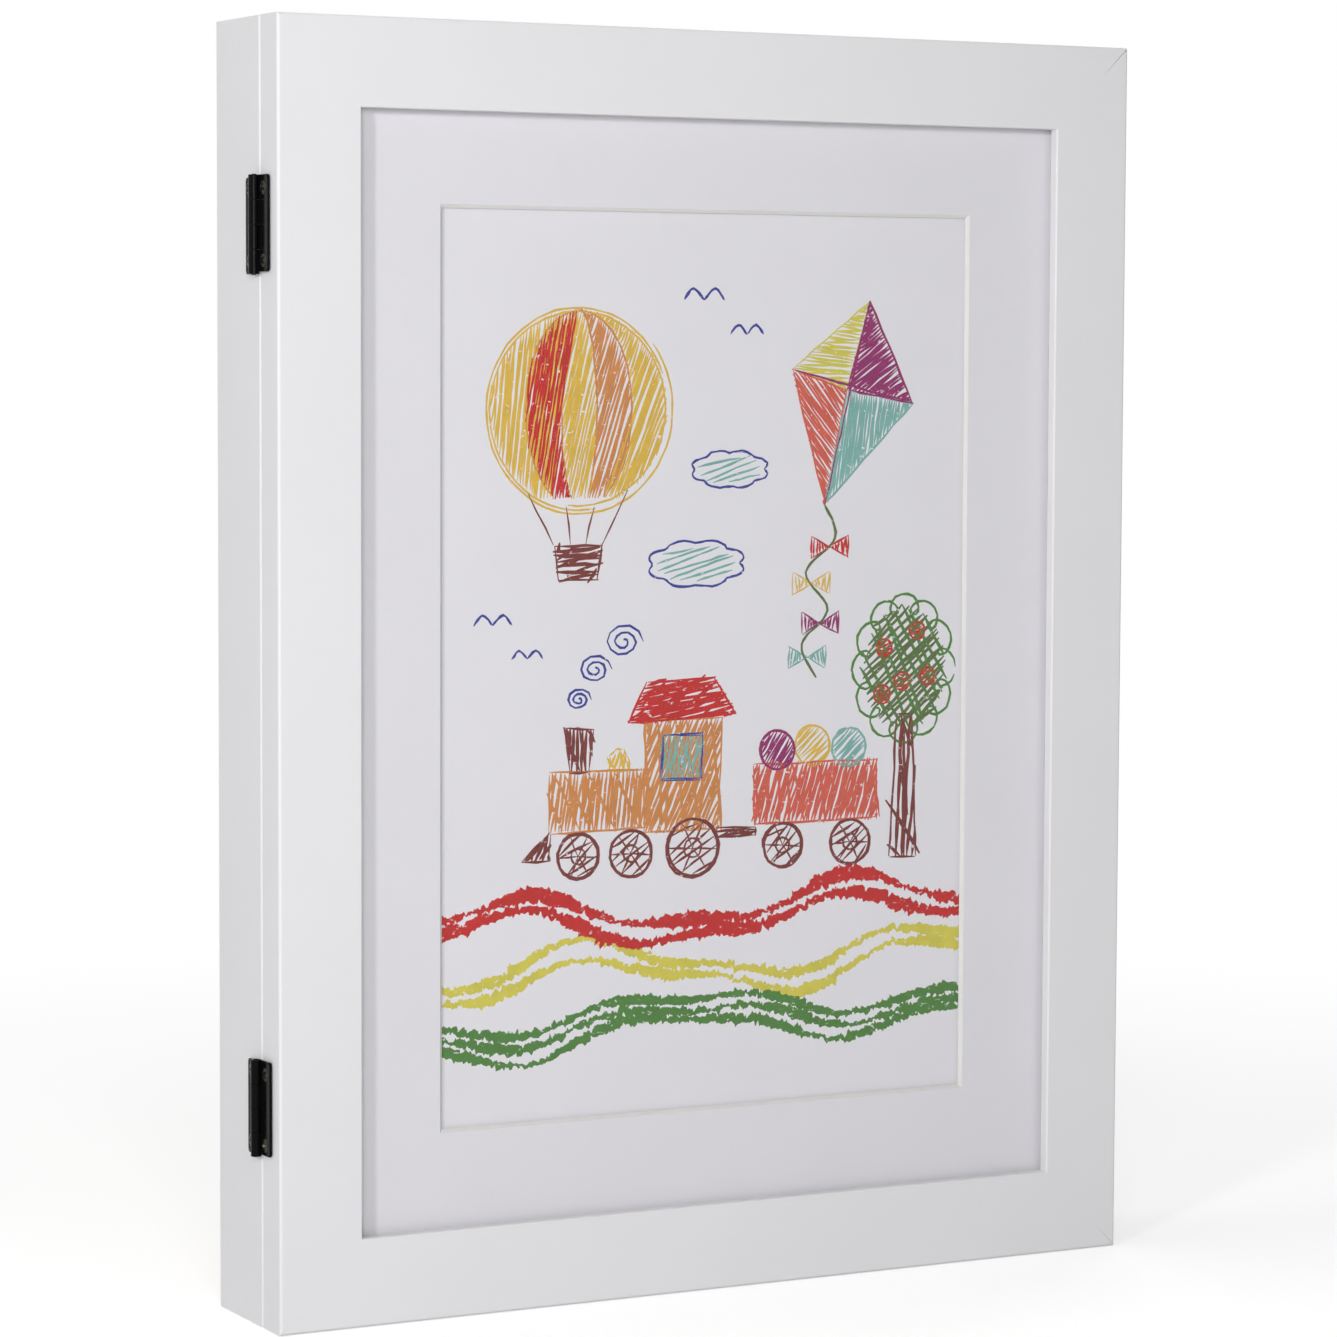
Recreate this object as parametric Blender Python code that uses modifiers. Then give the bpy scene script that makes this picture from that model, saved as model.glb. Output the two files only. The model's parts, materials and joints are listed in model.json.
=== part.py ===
# A storage picture frame: a glazed door on two butt hinges closes a shallow case.
# The frame stands upright. X runs to the right, Y to the back and Z up, in metres.
# The origin is on the bottom face, at the middle of the width and of the depth.

import math

import bmesh
import bpy
from mathutils import Matrix, Vector

# Overall sizes
FRAME_WIDTH = 0.254
FRAME_HEIGHT = 0.335
DOOR_THICKNESS = 0.0113
CASE_DEPTH = 0.0294

# Clearances
SEAT_GAP = 0.0003
BORE_CLEARANCE = 0.0002
CUT_OVERRUN = 0.002
WELD_DISTANCE = 0.000001
MERGE_DISTANCE = 0.00001

# Door moulding: a flat face, a thin lip over the glazing and a rebate behind it
FACE_WIDTH = 0.023
LIP_THICKNESS = 0.0032
REBATE_WIDTH = 0.0045
EDGE_RADIUS = 0.0008
LIP_RADIUS = 0.0004

# Picture behind the lip, front to back
GLAZING_THICKNESS = 0.0018
MAT_THICKNESS = 0.0013
MAT_MARGIN = 0.0256
SHEET_THICKNESS = 0.0003
SHEET_SIDE_ROOM = 0.0035
SHEET_END_ROOM = 0.0005

# Case walls, whose inner faces stand back from the sight edge, and their rebate for the panel
CASE_SETBACK = 0.011
PANEL_REBATE = 0.006
PANEL_THICKNESS = 0.003
PANEL_INSET = 0.0022
LINER_THICKNESS = 0.001

# Butt hinges on the left side face
HINGE_LENGTH = 0.025
UPPER_HINGE_DROP = 0.0526
LOWER_HINGE_RISE = 0.0572
KNUCKLE_RADIUS = 0.0014
KNUCKLE_COUNT = 4
LEAF_THICKNESS = 0.0007
LEAF_REACH = 0.0071
LEAF_STAGGER = 0.0006
LEAF_CORNER_RADIUS = 0.0009
PIN_RADIUS = 0.00065
PIN_HEAD = 0.0002
HINGE_SCREW_INSET = 0.0034
HINGE_SCREW_REACH = 0.0044

# Countersunk screws of the hinges and the hanger
COUNTERSUNK_HEAD_RADIUS = 0.0018
SHANK_RADIUS = 0.0009
HINGE_SCREW_LENGTH = 0.009
SCREW_TIP = 0.0015

# Turn buttons that hold the backing board, each on a pan head screw
BUTTON_ROOM = 0.0006
BUTTON_HEEL_RADIUS = 0.003
BUTTON_TIP_RADIUS = 0.0021
BUTTON_REACH = 0.0095
BUTTON_THICKNESS = 0.0012
PAN_HEAD_RADIUS = 0.0023
PAN_HEAD_HEIGHT = 0.001
BUTTON_SCREW_BITE = 0.006
side_button_shares = (0.26, 0.76)

# Catch: a magnet in the middle of the case's rim meets a steel stud in the door
MAGNET_RADIUS = 0.003
MAGNET_THICKNESS = 0.003
STRIKE_RADIUS = 0.0035
STRIKE_THICKNESS = 0.001
STRIKE_LENGTH = 0.006
catch_height_share = 0.5

# Corner nails pressed across the door's mitres from behind
NAIL_LEG = 0.005
NAIL_THICKNESS = 0.0006
NAIL_DEPTH = 0.006
NAIL_INSET = 0.008

# Elastic straps across the store, each end held in a slot
STRAP_WIDTH = 0.007
STRAP_THICKNESS = 0.001
STRAP_DEPTH = 0.006
STRAP_SLOT_DEPTH = 0.004
strap_height_shares = (0.22, 0.78)

# Sawtooth hanger on the back
HANGER_LENGTH = 0.046
HANGER_BAR_LENGTH = 0.030
HANGER_HEIGHT = 0.007
HANGER_THICKNESS = 0.0008
HANGER_RISE = 0.0007
HANGER_ROOM = 0.0005
HANGER_SCREW_INSET = 0.0035
HANGER_SCREW_LENGTH = 0.0085
HANGER_SCREW_HEAD_RADIUS = 0.0016
TOOTH_PITCH = 0.003
TOOTH_DEPTH = 0.0015
TOOTH_LAND = 0.0004

# Fineness of round stretches
CORNER_STEPS = 3
ROUND_STEPS = 16
KNUCKLE_STEPS = 20
DOME_STEPS = 3

# Places that follow from the sizes above
TOTAL_DEPTH = DOOR_THICKNESS + SEAT_GAP + CASE_DEPTH
FRONT_Y = -TOTAL_DEPTH / 2
DOOR_BACK_Y = FRONT_Y + DOOR_THICKNESS
CASE_FRONT_Y = DOOR_BACK_Y + SEAT_GAP
BACK_Y = TOTAL_DEPTH / 2
LEFT_X = -FRAME_WIDTH / 2
RIGHT_X = FRAME_WIDTH / 2
MIDDLE_Z = FRAME_HEIGHT / 2
HINGE_X = LEFT_X - SEAT_GAP - KNUCKLE_RADIUS
HINGE_Y = (DOOR_BACK_Y + CASE_FRONT_Y) / 2
HINGE_HEIGHTS = {"upper": FRAME_HEIGHT - UPPER_HINGE_DROP, "lower": LOWER_HINGE_RISE}
REBATE_EDGE = FACE_WIDTH - REBATE_WIDTH
REBATE_OPENING_WIDTH = FRAME_WIDTH - 2 * REBATE_EDGE
REBATE_OPENING_HEIGHT = FRAME_HEIGHT - 2 * REBATE_EDGE
SHEET_WIDTH = REBATE_OPENING_WIDTH - 2 * SHEET_SIDE_ROOM
SHEET_HEIGHT = REBATE_OPENING_HEIGHT - 2 * SHEET_END_ROOM
CASE_WALL = FACE_WIDTH - CASE_SETBACK
BUTTON_PIVOT_INSET = CASE_WALL + BUTTON_ROOM + BUTTON_HEEL_RADIUS
CATCH_INSET = CASE_WALL / 2
STORE_WIDTH = FRAME_WIDTH - 2 * CASE_WALL
STORE_HEIGHT = FRAME_HEIGHT - 2 * CASE_WALL
PANEL_REBATE_DEPTH = PANEL_INSET + PANEL_THICKNESS + SEAT_GAP
PANEL_FRONT_Y = BACK_Y - PANEL_INSET - PANEL_THICKNESS
HANGER_Z = FRAME_HEIGHT - (CASE_WALL - PANEL_REBATE) - HANGER_ROOM - HANGER_HEIGHT / 2

TO_BACK = Vector((0, 1, 0))
TO_LEFT = Vector((-1, 0, 0))


def clear_scene():
    for thing in list(bpy.data.objects):
        bpy.data.objects.remove(thing, do_unlink=True)


def new_collection(name):
    collection = bpy.data.collections.new(name)
    bpy.context.scene.collection.children.link(collection)
    return collection


def finish(name, colour, roughness, metallic=0.0, alpha=1.0):
    material = bpy.data.materials.new(name)
    material.use_nodes = True
    shader = material.node_tree.nodes["Principled BSDF"]
    shader.inputs["Base Color"].default_value = (*colour, 1)
    shader.inputs["Roughness"].default_value = roughness
    shader.inputs["Metallic"].default_value = metallic
    shader.inputs["Alpha"].default_value = alpha
    material.diffuse_color = (*colour, alpha)
    return material


def finishes():
    return {
        "white_foil": finish("white_foil", (0.82, 0.82, 0.83), 0.45),
        "white_case": finish("white_case", (0.82, 0.82, 0.83), 0.5),
        "clear_pane": finish("clear_pane", (0.95, 0.97, 0.97), 0.03, 0.0, 0.2),
        "mat_paper": finish("mat_paper", (0.80, 0.80, 0.82), 0.9),
        "drawing_paper": finish("drawing_paper", (0.86, 0.86, 0.88), 0.85),
        "white_board": finish("white_board", (0.78, 0.78, 0.78), 0.7),
        "brown_board": finish("brown_board", (0.30, 0.19, 0.11), 0.75),
        "black_metal": finish("black_metal", (0.012, 0.012, 0.013), 0.32, 0.9),
        "black_plastic": finish("black_plastic", (0.015, 0.015, 0.015), 0.45),
        "black_liner": finish("black_liner", (0.012, 0.012, 0.013), 0.9),
        "black_elastic": finish("black_elastic", (0.014, 0.014, 0.015), 0.85),
        "zinc_steel": finish("zinc_steel", (0.55, 0.56, 0.58), 0.35, 1.0),
        "nickel_magnet": finish("nickel_magnet", (0.62, 0.61, 0.59), 0.22, 1.0),
    }


def add_object(name, mesh, material, collection):
    made = bpy.data.objects.new(name, mesh)
    if material is not None and not mesh.materials:
        mesh.materials.append(material)
    collection.objects.link(made)
    return made


def as_cutter(shape):
    shape.hide_render = True
    shape.display_type = "WIRE"
    return shape


def place(shape, location, outward, along=None):
    # Local Z points outward; local X points along, when that is given.
    if along is None:
        shape.rotation_euler = outward.to_track_quat("Z", "Y").to_euler()
    else:
        across = outward.cross(along)
        shape.rotation_euler = Matrix((along, across, outward)).transposed().to_euler()
    shape.location = location
    return shape


def hang_on(shape, empty):
    # Parents a piece without moving it.
    shape.parent = empty
    shape.matrix_parent_inverse = Matrix.Translation(-empty.location)


def cut(target, cutter):
    boolean = target.modifiers.new("cut_" + cutter.name, "BOOLEAN")
    boolean.operation = "DIFFERENCE"
    boolean.solver = "EXACT"
    boolean.object = cutter


def shade_round(mesh, angle=math.radians(35)):
    mesh.shade_smooth()
    mesh.set_sharp_from_angle(angle=angle)


def arc(centre_x, centre_y, radius, start, end, steps):
    for step in range(steps + 1):
        angle = start + (end - start) * step / steps
        yield centre_x + radius * math.cos(angle), centre_y + radius * math.sin(angle)


def circle(radius, steps):
    return list(arc(0, 0, radius, 0, 2 * math.pi * (steps - 1) / steps, steps - 1))


def rounded(corners, steps=CORNER_STEPS):
    # Each corner is x, y and the radius of its fillet.
    points = []
    for index, (x, y, radius) in enumerate(corners):
        corner = Vector((x, y))
        if radius == 0:
            points.append((x, y))
            continue
        before = (Vector(corners[index - 1][:2]) - corner).normalized()
        after = (Vector(corners[(index + 1) % len(corners)][:2]) - corner).normalized()
        half = before.angle(after) / 2
        centre = corner + (before + after).normalized() * radius / math.sin(half)
        first = corner + before * radius / math.tan(half) - centre
        last = corner + after * radius / math.tan(half) - centre
        start = math.atan2(first.y, first.x)
        turn = math.remainder(math.atan2(last.y, last.x) - start, 2 * math.pi)
        points.extend(arc(centre.x, centre.y, radius, start, start + turn, steps))
    return points


def prism(name, outlines, thickness):
    # A closed mesh of flat outlines, drawn out along Z to both sides of the XY plane.
    curve = bpy.data.curves.new(name, "CURVE")
    curve.dimensions = "2D"
    curve.fill_mode = "BOTH"
    curve.extrude = thickness / 2
    for outline in outlines:
        spline = curve.splines.new("POLY")
        spline.points.add(len(outline) - 1)
        for point, (x, y) in zip(spline.points, outline):
            point.co = (x, y, 0, 1)
        spline.use_cyclic_u = True
    drawn = bpy.data.objects.new(name, curve)
    bpy.context.scene.collection.objects.link(drawn)
    evaluated = drawn.evaluated_get(bpy.context.evaluated_depsgraph_get())
    mesh = bpy.data.meshes.new_from_object(evaluated)
    bpy.data.objects.remove(drawn)
    bpy.data.curves.remove(curve)
    shape = bmesh.new()
    shape.from_mesh(mesh)
    bmesh.ops.remove_doubles(shape, verts=shape.verts, dist=WELD_DISTANCE)
    bmesh.ops.recalc_face_normals(shape, faces=shape.faces)
    shape.to_mesh(mesh)
    shape.free()
    mesh.name = name
    return mesh


def block(name, size):
    mesh = bpy.data.meshes.new(name)
    shape = bmesh.new()
    bmesh.ops.create_cube(shape, size=1, matrix=Matrix.Diagonal((*size, 1)))
    shape.to_mesh(mesh)
    shape.free()
    return mesh


def turned(name, profile, material, collection):
    # The profile runs from the top of the axis down its outer side to the bottom.
    mesh = bpy.data.meshes.new(name)
    points = [(radius, 0, height) for radius, height in profile]
    mesh.from_pydata(points, [(index, index + 1) for index in range(len(points) - 1)], [])
    made = add_object(name, mesh, material, collection)
    screw = made.modifiers.new("turn", "SCREW")
    screw.axis = "Z"
    screw.angle = 2 * math.pi
    screw.steps = ROUND_STEPS
    screw.render_steps = ROUND_STEPS
    screw.use_merge_vertices = True
    screw.merge_threshold = MERGE_DISTANCE
    screw.use_smooth_shade = False
    return made


def mitre(mesh, length):
    # Cuts both ends at 45 degrees, longest at local X = 0, and leaves half the seat gap.
    shape = bmesh.new()
    shape.from_mesh(mesh)
    for side in (1, -1):
        normal = Vector((1, 0, side)).normalized()
        point = Vector((0, 0, side * length / 2)) - normal * SEAT_GAP / 2
        everything = shape.verts[:] + shape.edges[:] + shape.faces[:]
        parted = bmesh.ops.bisect_plane(
            shape, geom=everything, plane_co=point, plane_no=normal, clear_outer=True
        )
        rim = [piece for piece in parted["geom_cut"] if isinstance(piece, bmesh.types.BMEdge)]
        bmesh.ops.edgeloop_fill(shape, edges=rim)
    bmesh.ops.recalc_face_normals(shape, faces=shape.faces)
    shape.to_mesh(mesh)
    shape.free()


def frame_of_rails(names, outline, material, collection):
    # Four mitred lengths of one moulding. The outline is inward distance against depth.
    places = {
        "left": ((LEFT_X, 0, MIDDLE_Z), 0, FRAME_HEIGHT),
        "bottom": ((0, 0, 0), -math.pi / 2, FRAME_WIDTH),
        "right": ((RIGHT_X, 0, MIDDLE_Z), math.pi, FRAME_HEIGHT),
        "top": ((0, 0, FRAME_HEIGHT), math.pi / 2, FRAME_WIDTH),
    }
    rails = {}
    for side, (location, turn, length) in places.items():
        mesh = prism(names[side], [outline], length + 2 * CUT_OVERRUN)
        mitre(mesh, length)
        shade_round(mesh)
        rail = add_object(names[side], mesh, material, collection)
        rail.location = location
        rail.rotation_euler.y = turn
        rails[side] = rail
    return rails


def door_outline():
    lip_back = FRONT_Y + LIP_THICKNESS
    return rounded(
        [
            (0, FRONT_Y, EDGE_RADIUS),
            (FACE_WIDTH, FRONT_Y, EDGE_RADIUS),
            (FACE_WIDTH, lip_back, LIP_RADIUS),
            (REBATE_EDGE, lip_back, 0),
            (REBATE_EDGE, DOOR_BACK_Y, LIP_RADIUS),
            (0, DOOR_BACK_Y, LIP_RADIUS),
        ]
    )


def case_outline():
    shoulder_y = BACK_Y - PANEL_REBATE_DEPTH
    rim_width = CASE_WALL - PANEL_REBATE
    return rounded(
        [
            (0, CASE_FRONT_Y, LIP_RADIUS),
            (CASE_WALL, CASE_FRONT_Y, LIP_RADIUS),
            (CASE_WALL, shoulder_y, 0),
            (rim_width, shoulder_y, 0),
            (rim_width, BACK_Y, LIP_RADIUS),
            (0, BACK_Y, EDGE_RADIUS),
        ]
    )


def picture_stack(material, door, collection):
    # The layers behind the lip, each one seat gap behind the one before it.
    # The backing board fills what the rebate leaves, up to the back of the door.
    pane_width = REBATE_OPENING_WIDTH - 2 * SEAT_GAP
    pane_height = REBATE_OPENING_HEIGHT - 2 * SEAT_GAP
    layers = [
        ("glazing_pane", "clear_pane", pane_width, pane_height, GLAZING_THICKNESS),
        ("mat_board", "mat_paper", pane_width, pane_height, MAT_THICKNESS),
        ("artwork_sheet", "drawing_paper", SHEET_WIDTH, SHEET_HEIGHT, SHEET_THICKNESS),
    ]
    front = FRONT_Y + LIP_THICKNESS
    made = {}
    for name, finish_name, width, height, thickness in layers:
        front += SEAT_GAP
        mesh = block(name, (width, thickness, height))
        piece = add_object(name, mesh, material[finish_name], collection)
        piece.location = (0, front + thickness / 2, MIDDLE_Z)
        hang_on(piece, door)
        made[name] = piece
        front += thickness
    front += SEAT_GAP
    board_thickness = DOOR_BACK_Y - front
    mesh = block("backing_board", (pane_width, board_thickness, pane_height))
    board = add_object("backing_board", mesh, material["white_board"], collection)
    board.location = (0, front + board_thickness / 2, MIDDLE_Z)
    hang_on(board, door)
    return made


def mat_window(mat, cutters):
    # A window whose edge slopes at 45 degrees and opens towards the front.
    width = FRAME_WIDTH - 2 * (FACE_WIDTH + MAT_MARGIN)
    height = FRAME_HEIGHT - 2 * (FACE_WIDTH + MAT_MARGIN)
    depth = MAT_THICKNESS + 2 * CUT_OVERRUN
    mesh = block("mat_window_cutter", (width, depth, height))
    front_growth = MAT_THICKNESS + CUT_OVERRUN
    for corner in mesh.vertices:
        growth = front_growth if corner.co.y < 0 else -CUT_OVERRUN
        corner.co.x += math.copysign(growth, corner.co.x)
        corner.co.z += math.copysign(growth, corner.co.z)
    cutter = as_cutter(add_object("mat_window_cutter", mesh, None, cutters))
    cutter.location = mat.location
    cut(mat, cutter)


def countersunk_profile(head_radius, length, clearance=0.0):
    head = head_radius + clearance
    shank = SHANK_RADIUS + clearance
    cone = head_radius - SHANK_RADIUS
    bottom = -length - clearance
    profile = [(0, 0), (head, 0), (shank, -cone), (shank, bottom + SCREW_TIP), (0, bottom)]
    if clearance:
        profile[1:1] = [(head, CUT_OVERRUN)]
        profile[0] = (0, CUT_OVERRUN)
    return profile


def drive_screw(name, head_radius, length, location, outward, targets, groups):
    # A countersunk screw and the hole that it needs in each target.
    material, parts, cutters = groups
    screw = turned(name, countersunk_profile(head_radius, length), material, parts)
    place(screw, location, outward)
    hole_profile = countersunk_profile(head_radius, length, BORE_CLEARANCE)
    hole = as_cutter(turned(name + "_hole", hole_profile, None, cutters))
    place(hole, location, outward)
    for target in targets:
        cut(target, hole)
    return screw


def leaf_outline():
    # The section of a hinge leaf: a plate whose end curls round the pin.
    # X is outward from the frame's side and Y along the leaf's free edge, from the pin.
    inner_face = -KNUCKLE_RADIUS
    outer_face = LEAF_THICKNESS - KNUCKLE_RADIUS
    meeting = math.acos(-outer_face / KNUCKLE_RADIUS)
    curl = arc(0, 0, KNUCKLE_RADIUS, math.pi, -math.pi + meeting, KNUCKLE_STEPS)
    return [(inner_face, -LEAF_REACH), *curl, (outer_face, -LEAF_REACH)]


def corner_waste_outline():
    # What a fillet takes off a corner that lies at the origin, with the plate at +X, +Y.
    radius = LEAF_CORNER_RADIUS
    fillet = arc(radius, radius, radius, math.pi, 3 * math.pi / 2, CORNER_STEPS)
    over = -CUT_OVERRUN
    return [*fillet, (radius, over), (over, over), (over, radius)]


def hinge_leaf(name, side, centre_z, material, collection, cutters):
    # side is -1 for the door's leaf and 1 for the case's.
    # Both leaves share the curl, so each is notched where the other's knuckles turn.
    outline = [(-x, -side * y) for x, y in leaf_outline()]
    bore = circle(PIN_RADIUS + BORE_CLEARANCE, ROUND_STEPS)
    leaf_length = HINGE_LENGTH - LEAF_STAGGER
    leaf = add_object(name, prism(name, [outline, bore], leaf_length), material, collection)
    leaf.location = (HINGE_X, HINGE_Y, centre_z - side * LEAF_STAGGER / 2)
    shade_round(leaf.data)
    knuckle_length = HINGE_LENGTH / KNUCKLE_COUNT
    notch_depth = 2 * (KNUCKLE_RADIUS + CUT_OVERRUN)
    notch_size = (notch_depth, 2 * KNUCKLE_RADIUS + 2 * SEAT_GAP, knuckle_length + SEAT_GAP)
    top = centre_z + HINGE_LENGTH / 2
    first_of_other = 1 if side < 0 else 0
    for index in range(first_of_other, KNUCKLE_COUNT, 2):
        at_edge = index == 0 or index == KNUCKLE_COUNT - 1
        reach = CUT_OVERRUN if at_edge else 0
        size = (notch_size[0], notch_size[1], notch_size[2] + reach)
        shift = 0
        if index == 0:
            shift = reach / 2
        elif at_edge:
            shift = -reach / 2
        notch_name = f"{name}_notch_{index}"
        notch = as_cutter(add_object(notch_name, block(notch_name, size), None, cutters))
        notch_z = top - (index + 1 / 2) * knuckle_length + shift
        notch.location = (HINGE_X, HINGE_Y, notch_z)
        cut(leaf, notch)
    corner_waste = prism(name + "_corner", [corner_waste_outline()], 2 * (LEAF_THICKNESS + CUT_OVERRUN))
    free_y = HINGE_Y + side * LEAF_REACH
    for end in (-1, 1):
        corner_name = f"{name}_corner_{'bottom' if end < 0 else 'top'}"
        waste = as_cutter(add_object(corner_name, corner_waste, None, cutters))
        corner = (HINGE_X + KNUCKLE_RADIUS, free_y, leaf.location.z + end * leaf_length / 2)
        # Its local X runs from the free edge to the pin, and its Y into the leaf's length.
        place(waste, corner, -TO_LEFT * side * end, Vector((0, -side, 0)))
        cut(leaf, waste)
    return leaf


def hinges(material, door, rails, case, parts, cutters):
    metal = material["black_metal"]
    leaf_outer_x = LEFT_X - SEAT_GAP - LEAF_THICKNESS
    for level, centre_z in HINGE_HEIGHTS.items():
        wood = {-1: rails["left"], 1: case["left"]}
        for side, owner in ((-1, "door"), (1, "case")):
            name = f"{level}_hinge_{owner}_leaf"
            leaf = hinge_leaf(name, side, centre_z, metal, parts, cutters)
            if owner == "door":
                hang_on(leaf, door)
            reach = HINGE_LENGTH / 2 - HINGE_SCREW_INSET
            for number, rise in enumerate((reach, -reach), start=1):
                screw_name = f"{level}_hinge_{owner}_screw_{number}"
                spot = Vector((leaf_outer_x, HINGE_Y + side * HINGE_SCREW_REACH, centre_z + rise))
                screw = drive_screw(
                    screw_name,
                    COUNTERSUNK_HEAD_RADIUS,
                    HINGE_SCREW_LENGTH,
                    spot,
                    TO_LEFT,
                    (leaf, wood[side]),
                    (metal, parts, cutters),
                )
                if owner == "door":
                    hang_on(screw, door)
        half = HINGE_LENGTH / 2 + PIN_HEAD
        chamfer = PIN_HEAD
        profile = [
            (0, half),
            (PIN_RADIUS - chamfer, half),
            (PIN_RADIUS, half - chamfer),
            (PIN_RADIUS, chamfer - half),
            (PIN_RADIUS - chamfer, -half),
            (0, -half),
        ]
        pin = turned(f"{level}_hinge_pin", profile, metal, parts)
        pin.location = (HINGE_X, HINGE_Y, centre_z)


def button_outline():
    # Two round ends joined by their common tangents; the heel turns about the origin.
    tip_x = BUTTON_REACH - BUTTON_TIP_RADIUS
    lean = math.acos((BUTTON_HEEL_RADIUS - BUTTON_TIP_RADIUS) / tip_x)
    heel = arc(0, 0, BUTTON_HEEL_RADIUS, lean, 2 * math.pi - lean, ROUND_STEPS // 2 + 2)
    tip = arc(tip_x, 0, BUTTON_TIP_RADIUS, -lean, lean, ROUND_STEPS // 2)
    return [*heel, *tip]


def button_places():
    # Pivot and the direction towards the picture, clockwise from the top seen from the front.
    inset = BUTTON_PIVOT_INSET
    low, high = (share * FRAME_HEIGHT for share in side_button_shares)
    return [
        ("top", (0, FRAME_HEIGHT - inset), (0, -1)),
        ("right_upper", (RIGHT_X - inset, high), (-1, 0)),
        ("right_lower", (RIGHT_X - inset, low), (-1, 0)),
        ("bottom", (0, inset), (0, 1)),
        ("left_lower", (LEFT_X + inset, low), (1, 0)),
        ("left_upper", (LEFT_X + inset, high), (1, 0)),
    ]


def turn_buttons(material, door, rails, parts, cutters):
    hole = circle(SHANK_RADIUS + SEAT_GAP, ROUND_STEPS)
    button_mesh = prism("turn_button", [button_outline(), hole], BUTTON_THICKNESS)
    button_mesh.materials.append(material["black_plastic"])
    button_y = DOOR_BACK_Y + SEAT_GAP + BUTTON_THICKNESS / 2
    head_y = button_y + BUTTON_THICKNESS / 2 + SEAT_GAP
    shank_end = -(head_y - DOOR_BACK_Y) - BUTTON_SCREW_BITE
    quarter = math.pi / 2
    dome = [
        (PAN_HEAD_RADIUS * math.sin(quarter * step / DOME_STEPS),
         PAN_HEAD_HEIGHT * math.cos(quarter * step / DOME_STEPS))
        for step in range(DOME_STEPS + 1)
    ]
    profile = [*dome, (SHANK_RADIUS, 0), (SHANK_RADIUS, shank_end + SCREW_TIP), (0, shank_end)]
    bore = SHANK_RADIUS + BORE_CLEARANCE
    hole_end = shank_end - BORE_CLEARANCE
    hole_profile = [(0, 0), (bore, 0), (bore, hole_end + SCREW_TIP), (0, hole_end)]
    for place_name, (x, z), (in_x, in_z) in button_places():
        rail = rails[place_name.split("_")[0]]
        button = add_object(f"turn_button_{place_name}", button_mesh, None, parts)
        place(button, (x, button_y, z), TO_BACK, Vector((in_x, 0, in_z)))
        hang_on(button, door)
        screw = turned(f"button_screw_{place_name}", profile, material["black_metal"], parts)
        place(screw, (x, head_y, z), TO_BACK)
        hang_on(screw, door)
        drill = as_cutter(turned(f"button_hole_{place_name}", hole_profile, None, cutters))
        place(drill, (x, head_y, z), TO_BACK)
        cut(rail, drill)


def catch(material, door, rails, case, parts, cutters):
    x = RIGHT_X - CATCH_INSET
    z = catch_height_share * FRAME_HEIGHT
    magnet_profile = [
        (0, 0),
        (MAGNET_RADIUS, 0),
        (MAGNET_RADIUS, -MAGNET_THICKNESS),
        (0, -MAGNET_THICKNESS),
    ]
    magnet = turned("catch_magnet", magnet_profile, material["nickel_magnet"], parts)
    place(magnet, (x, CASE_FRONT_Y, z), -TO_BACK)
    bore = MAGNET_RADIUS + BORE_CLEARANCE
    floor = -MAGNET_THICKNESS - SEAT_GAP
    bore_profile = [(0, CUT_OVERRUN), (bore, CUT_OVERRUN), (bore, floor), (0, floor)]
    magnet_bore = as_cutter(turned("catch_magnet_bore", bore_profile, None, cutters))
    place(magnet_bore, (x, CASE_FRONT_Y, z), -TO_BACK)
    cut(case["right"], magnet_bore)

    strike_profile = [
        (0, 0),
        (STRIKE_RADIUS, 0),
        (STRIKE_RADIUS, -STRIKE_THICKNESS),
        (SHANK_RADIUS, -STRIKE_THICKNESS),
        (SHANK_RADIUS, SCREW_TIP - STRIKE_LENGTH),
        (0, -STRIKE_LENGTH),
    ]
    strike = turned("strike_stud", strike_profile, material["zinc_steel"], parts)
    place(strike, (x, DOOR_BACK_Y, z), TO_BACK)
    hang_on(strike, door)
    seat = STRIKE_RADIUS + BORE_CLEARANCE
    seat_floor = -STRIKE_THICKNESS - SEAT_GAP
    shank = SHANK_RADIUS + BORE_CLEARANCE
    end = -STRIKE_LENGTH - SEAT_GAP
    seat_profile = [
        (0, CUT_OVERRUN),
        (seat, CUT_OVERRUN),
        (seat, seat_floor),
        (shank, seat_floor),
        (shank, end + SCREW_TIP),
        (0, end),
    ]
    strike_seat = as_cutter(turned("strike_seat", seat_profile, None, cutters))
    place(strike_seat, (x, DOOR_BACK_Y, z), TO_BACK)
    cut(rails["right"], strike_seat)


def corner_nail_outline(clearance=0.0):
    # Two legs at a right angle, one along each moulding, with the bend at the origin.
    leg = NAIL_LEG + clearance
    half = NAIL_THICKNESS / 2 + clearance
    return [(-half, -half), (leg, -half), (leg, half), (half, half), (half, leg), (-half, leg)]


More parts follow.
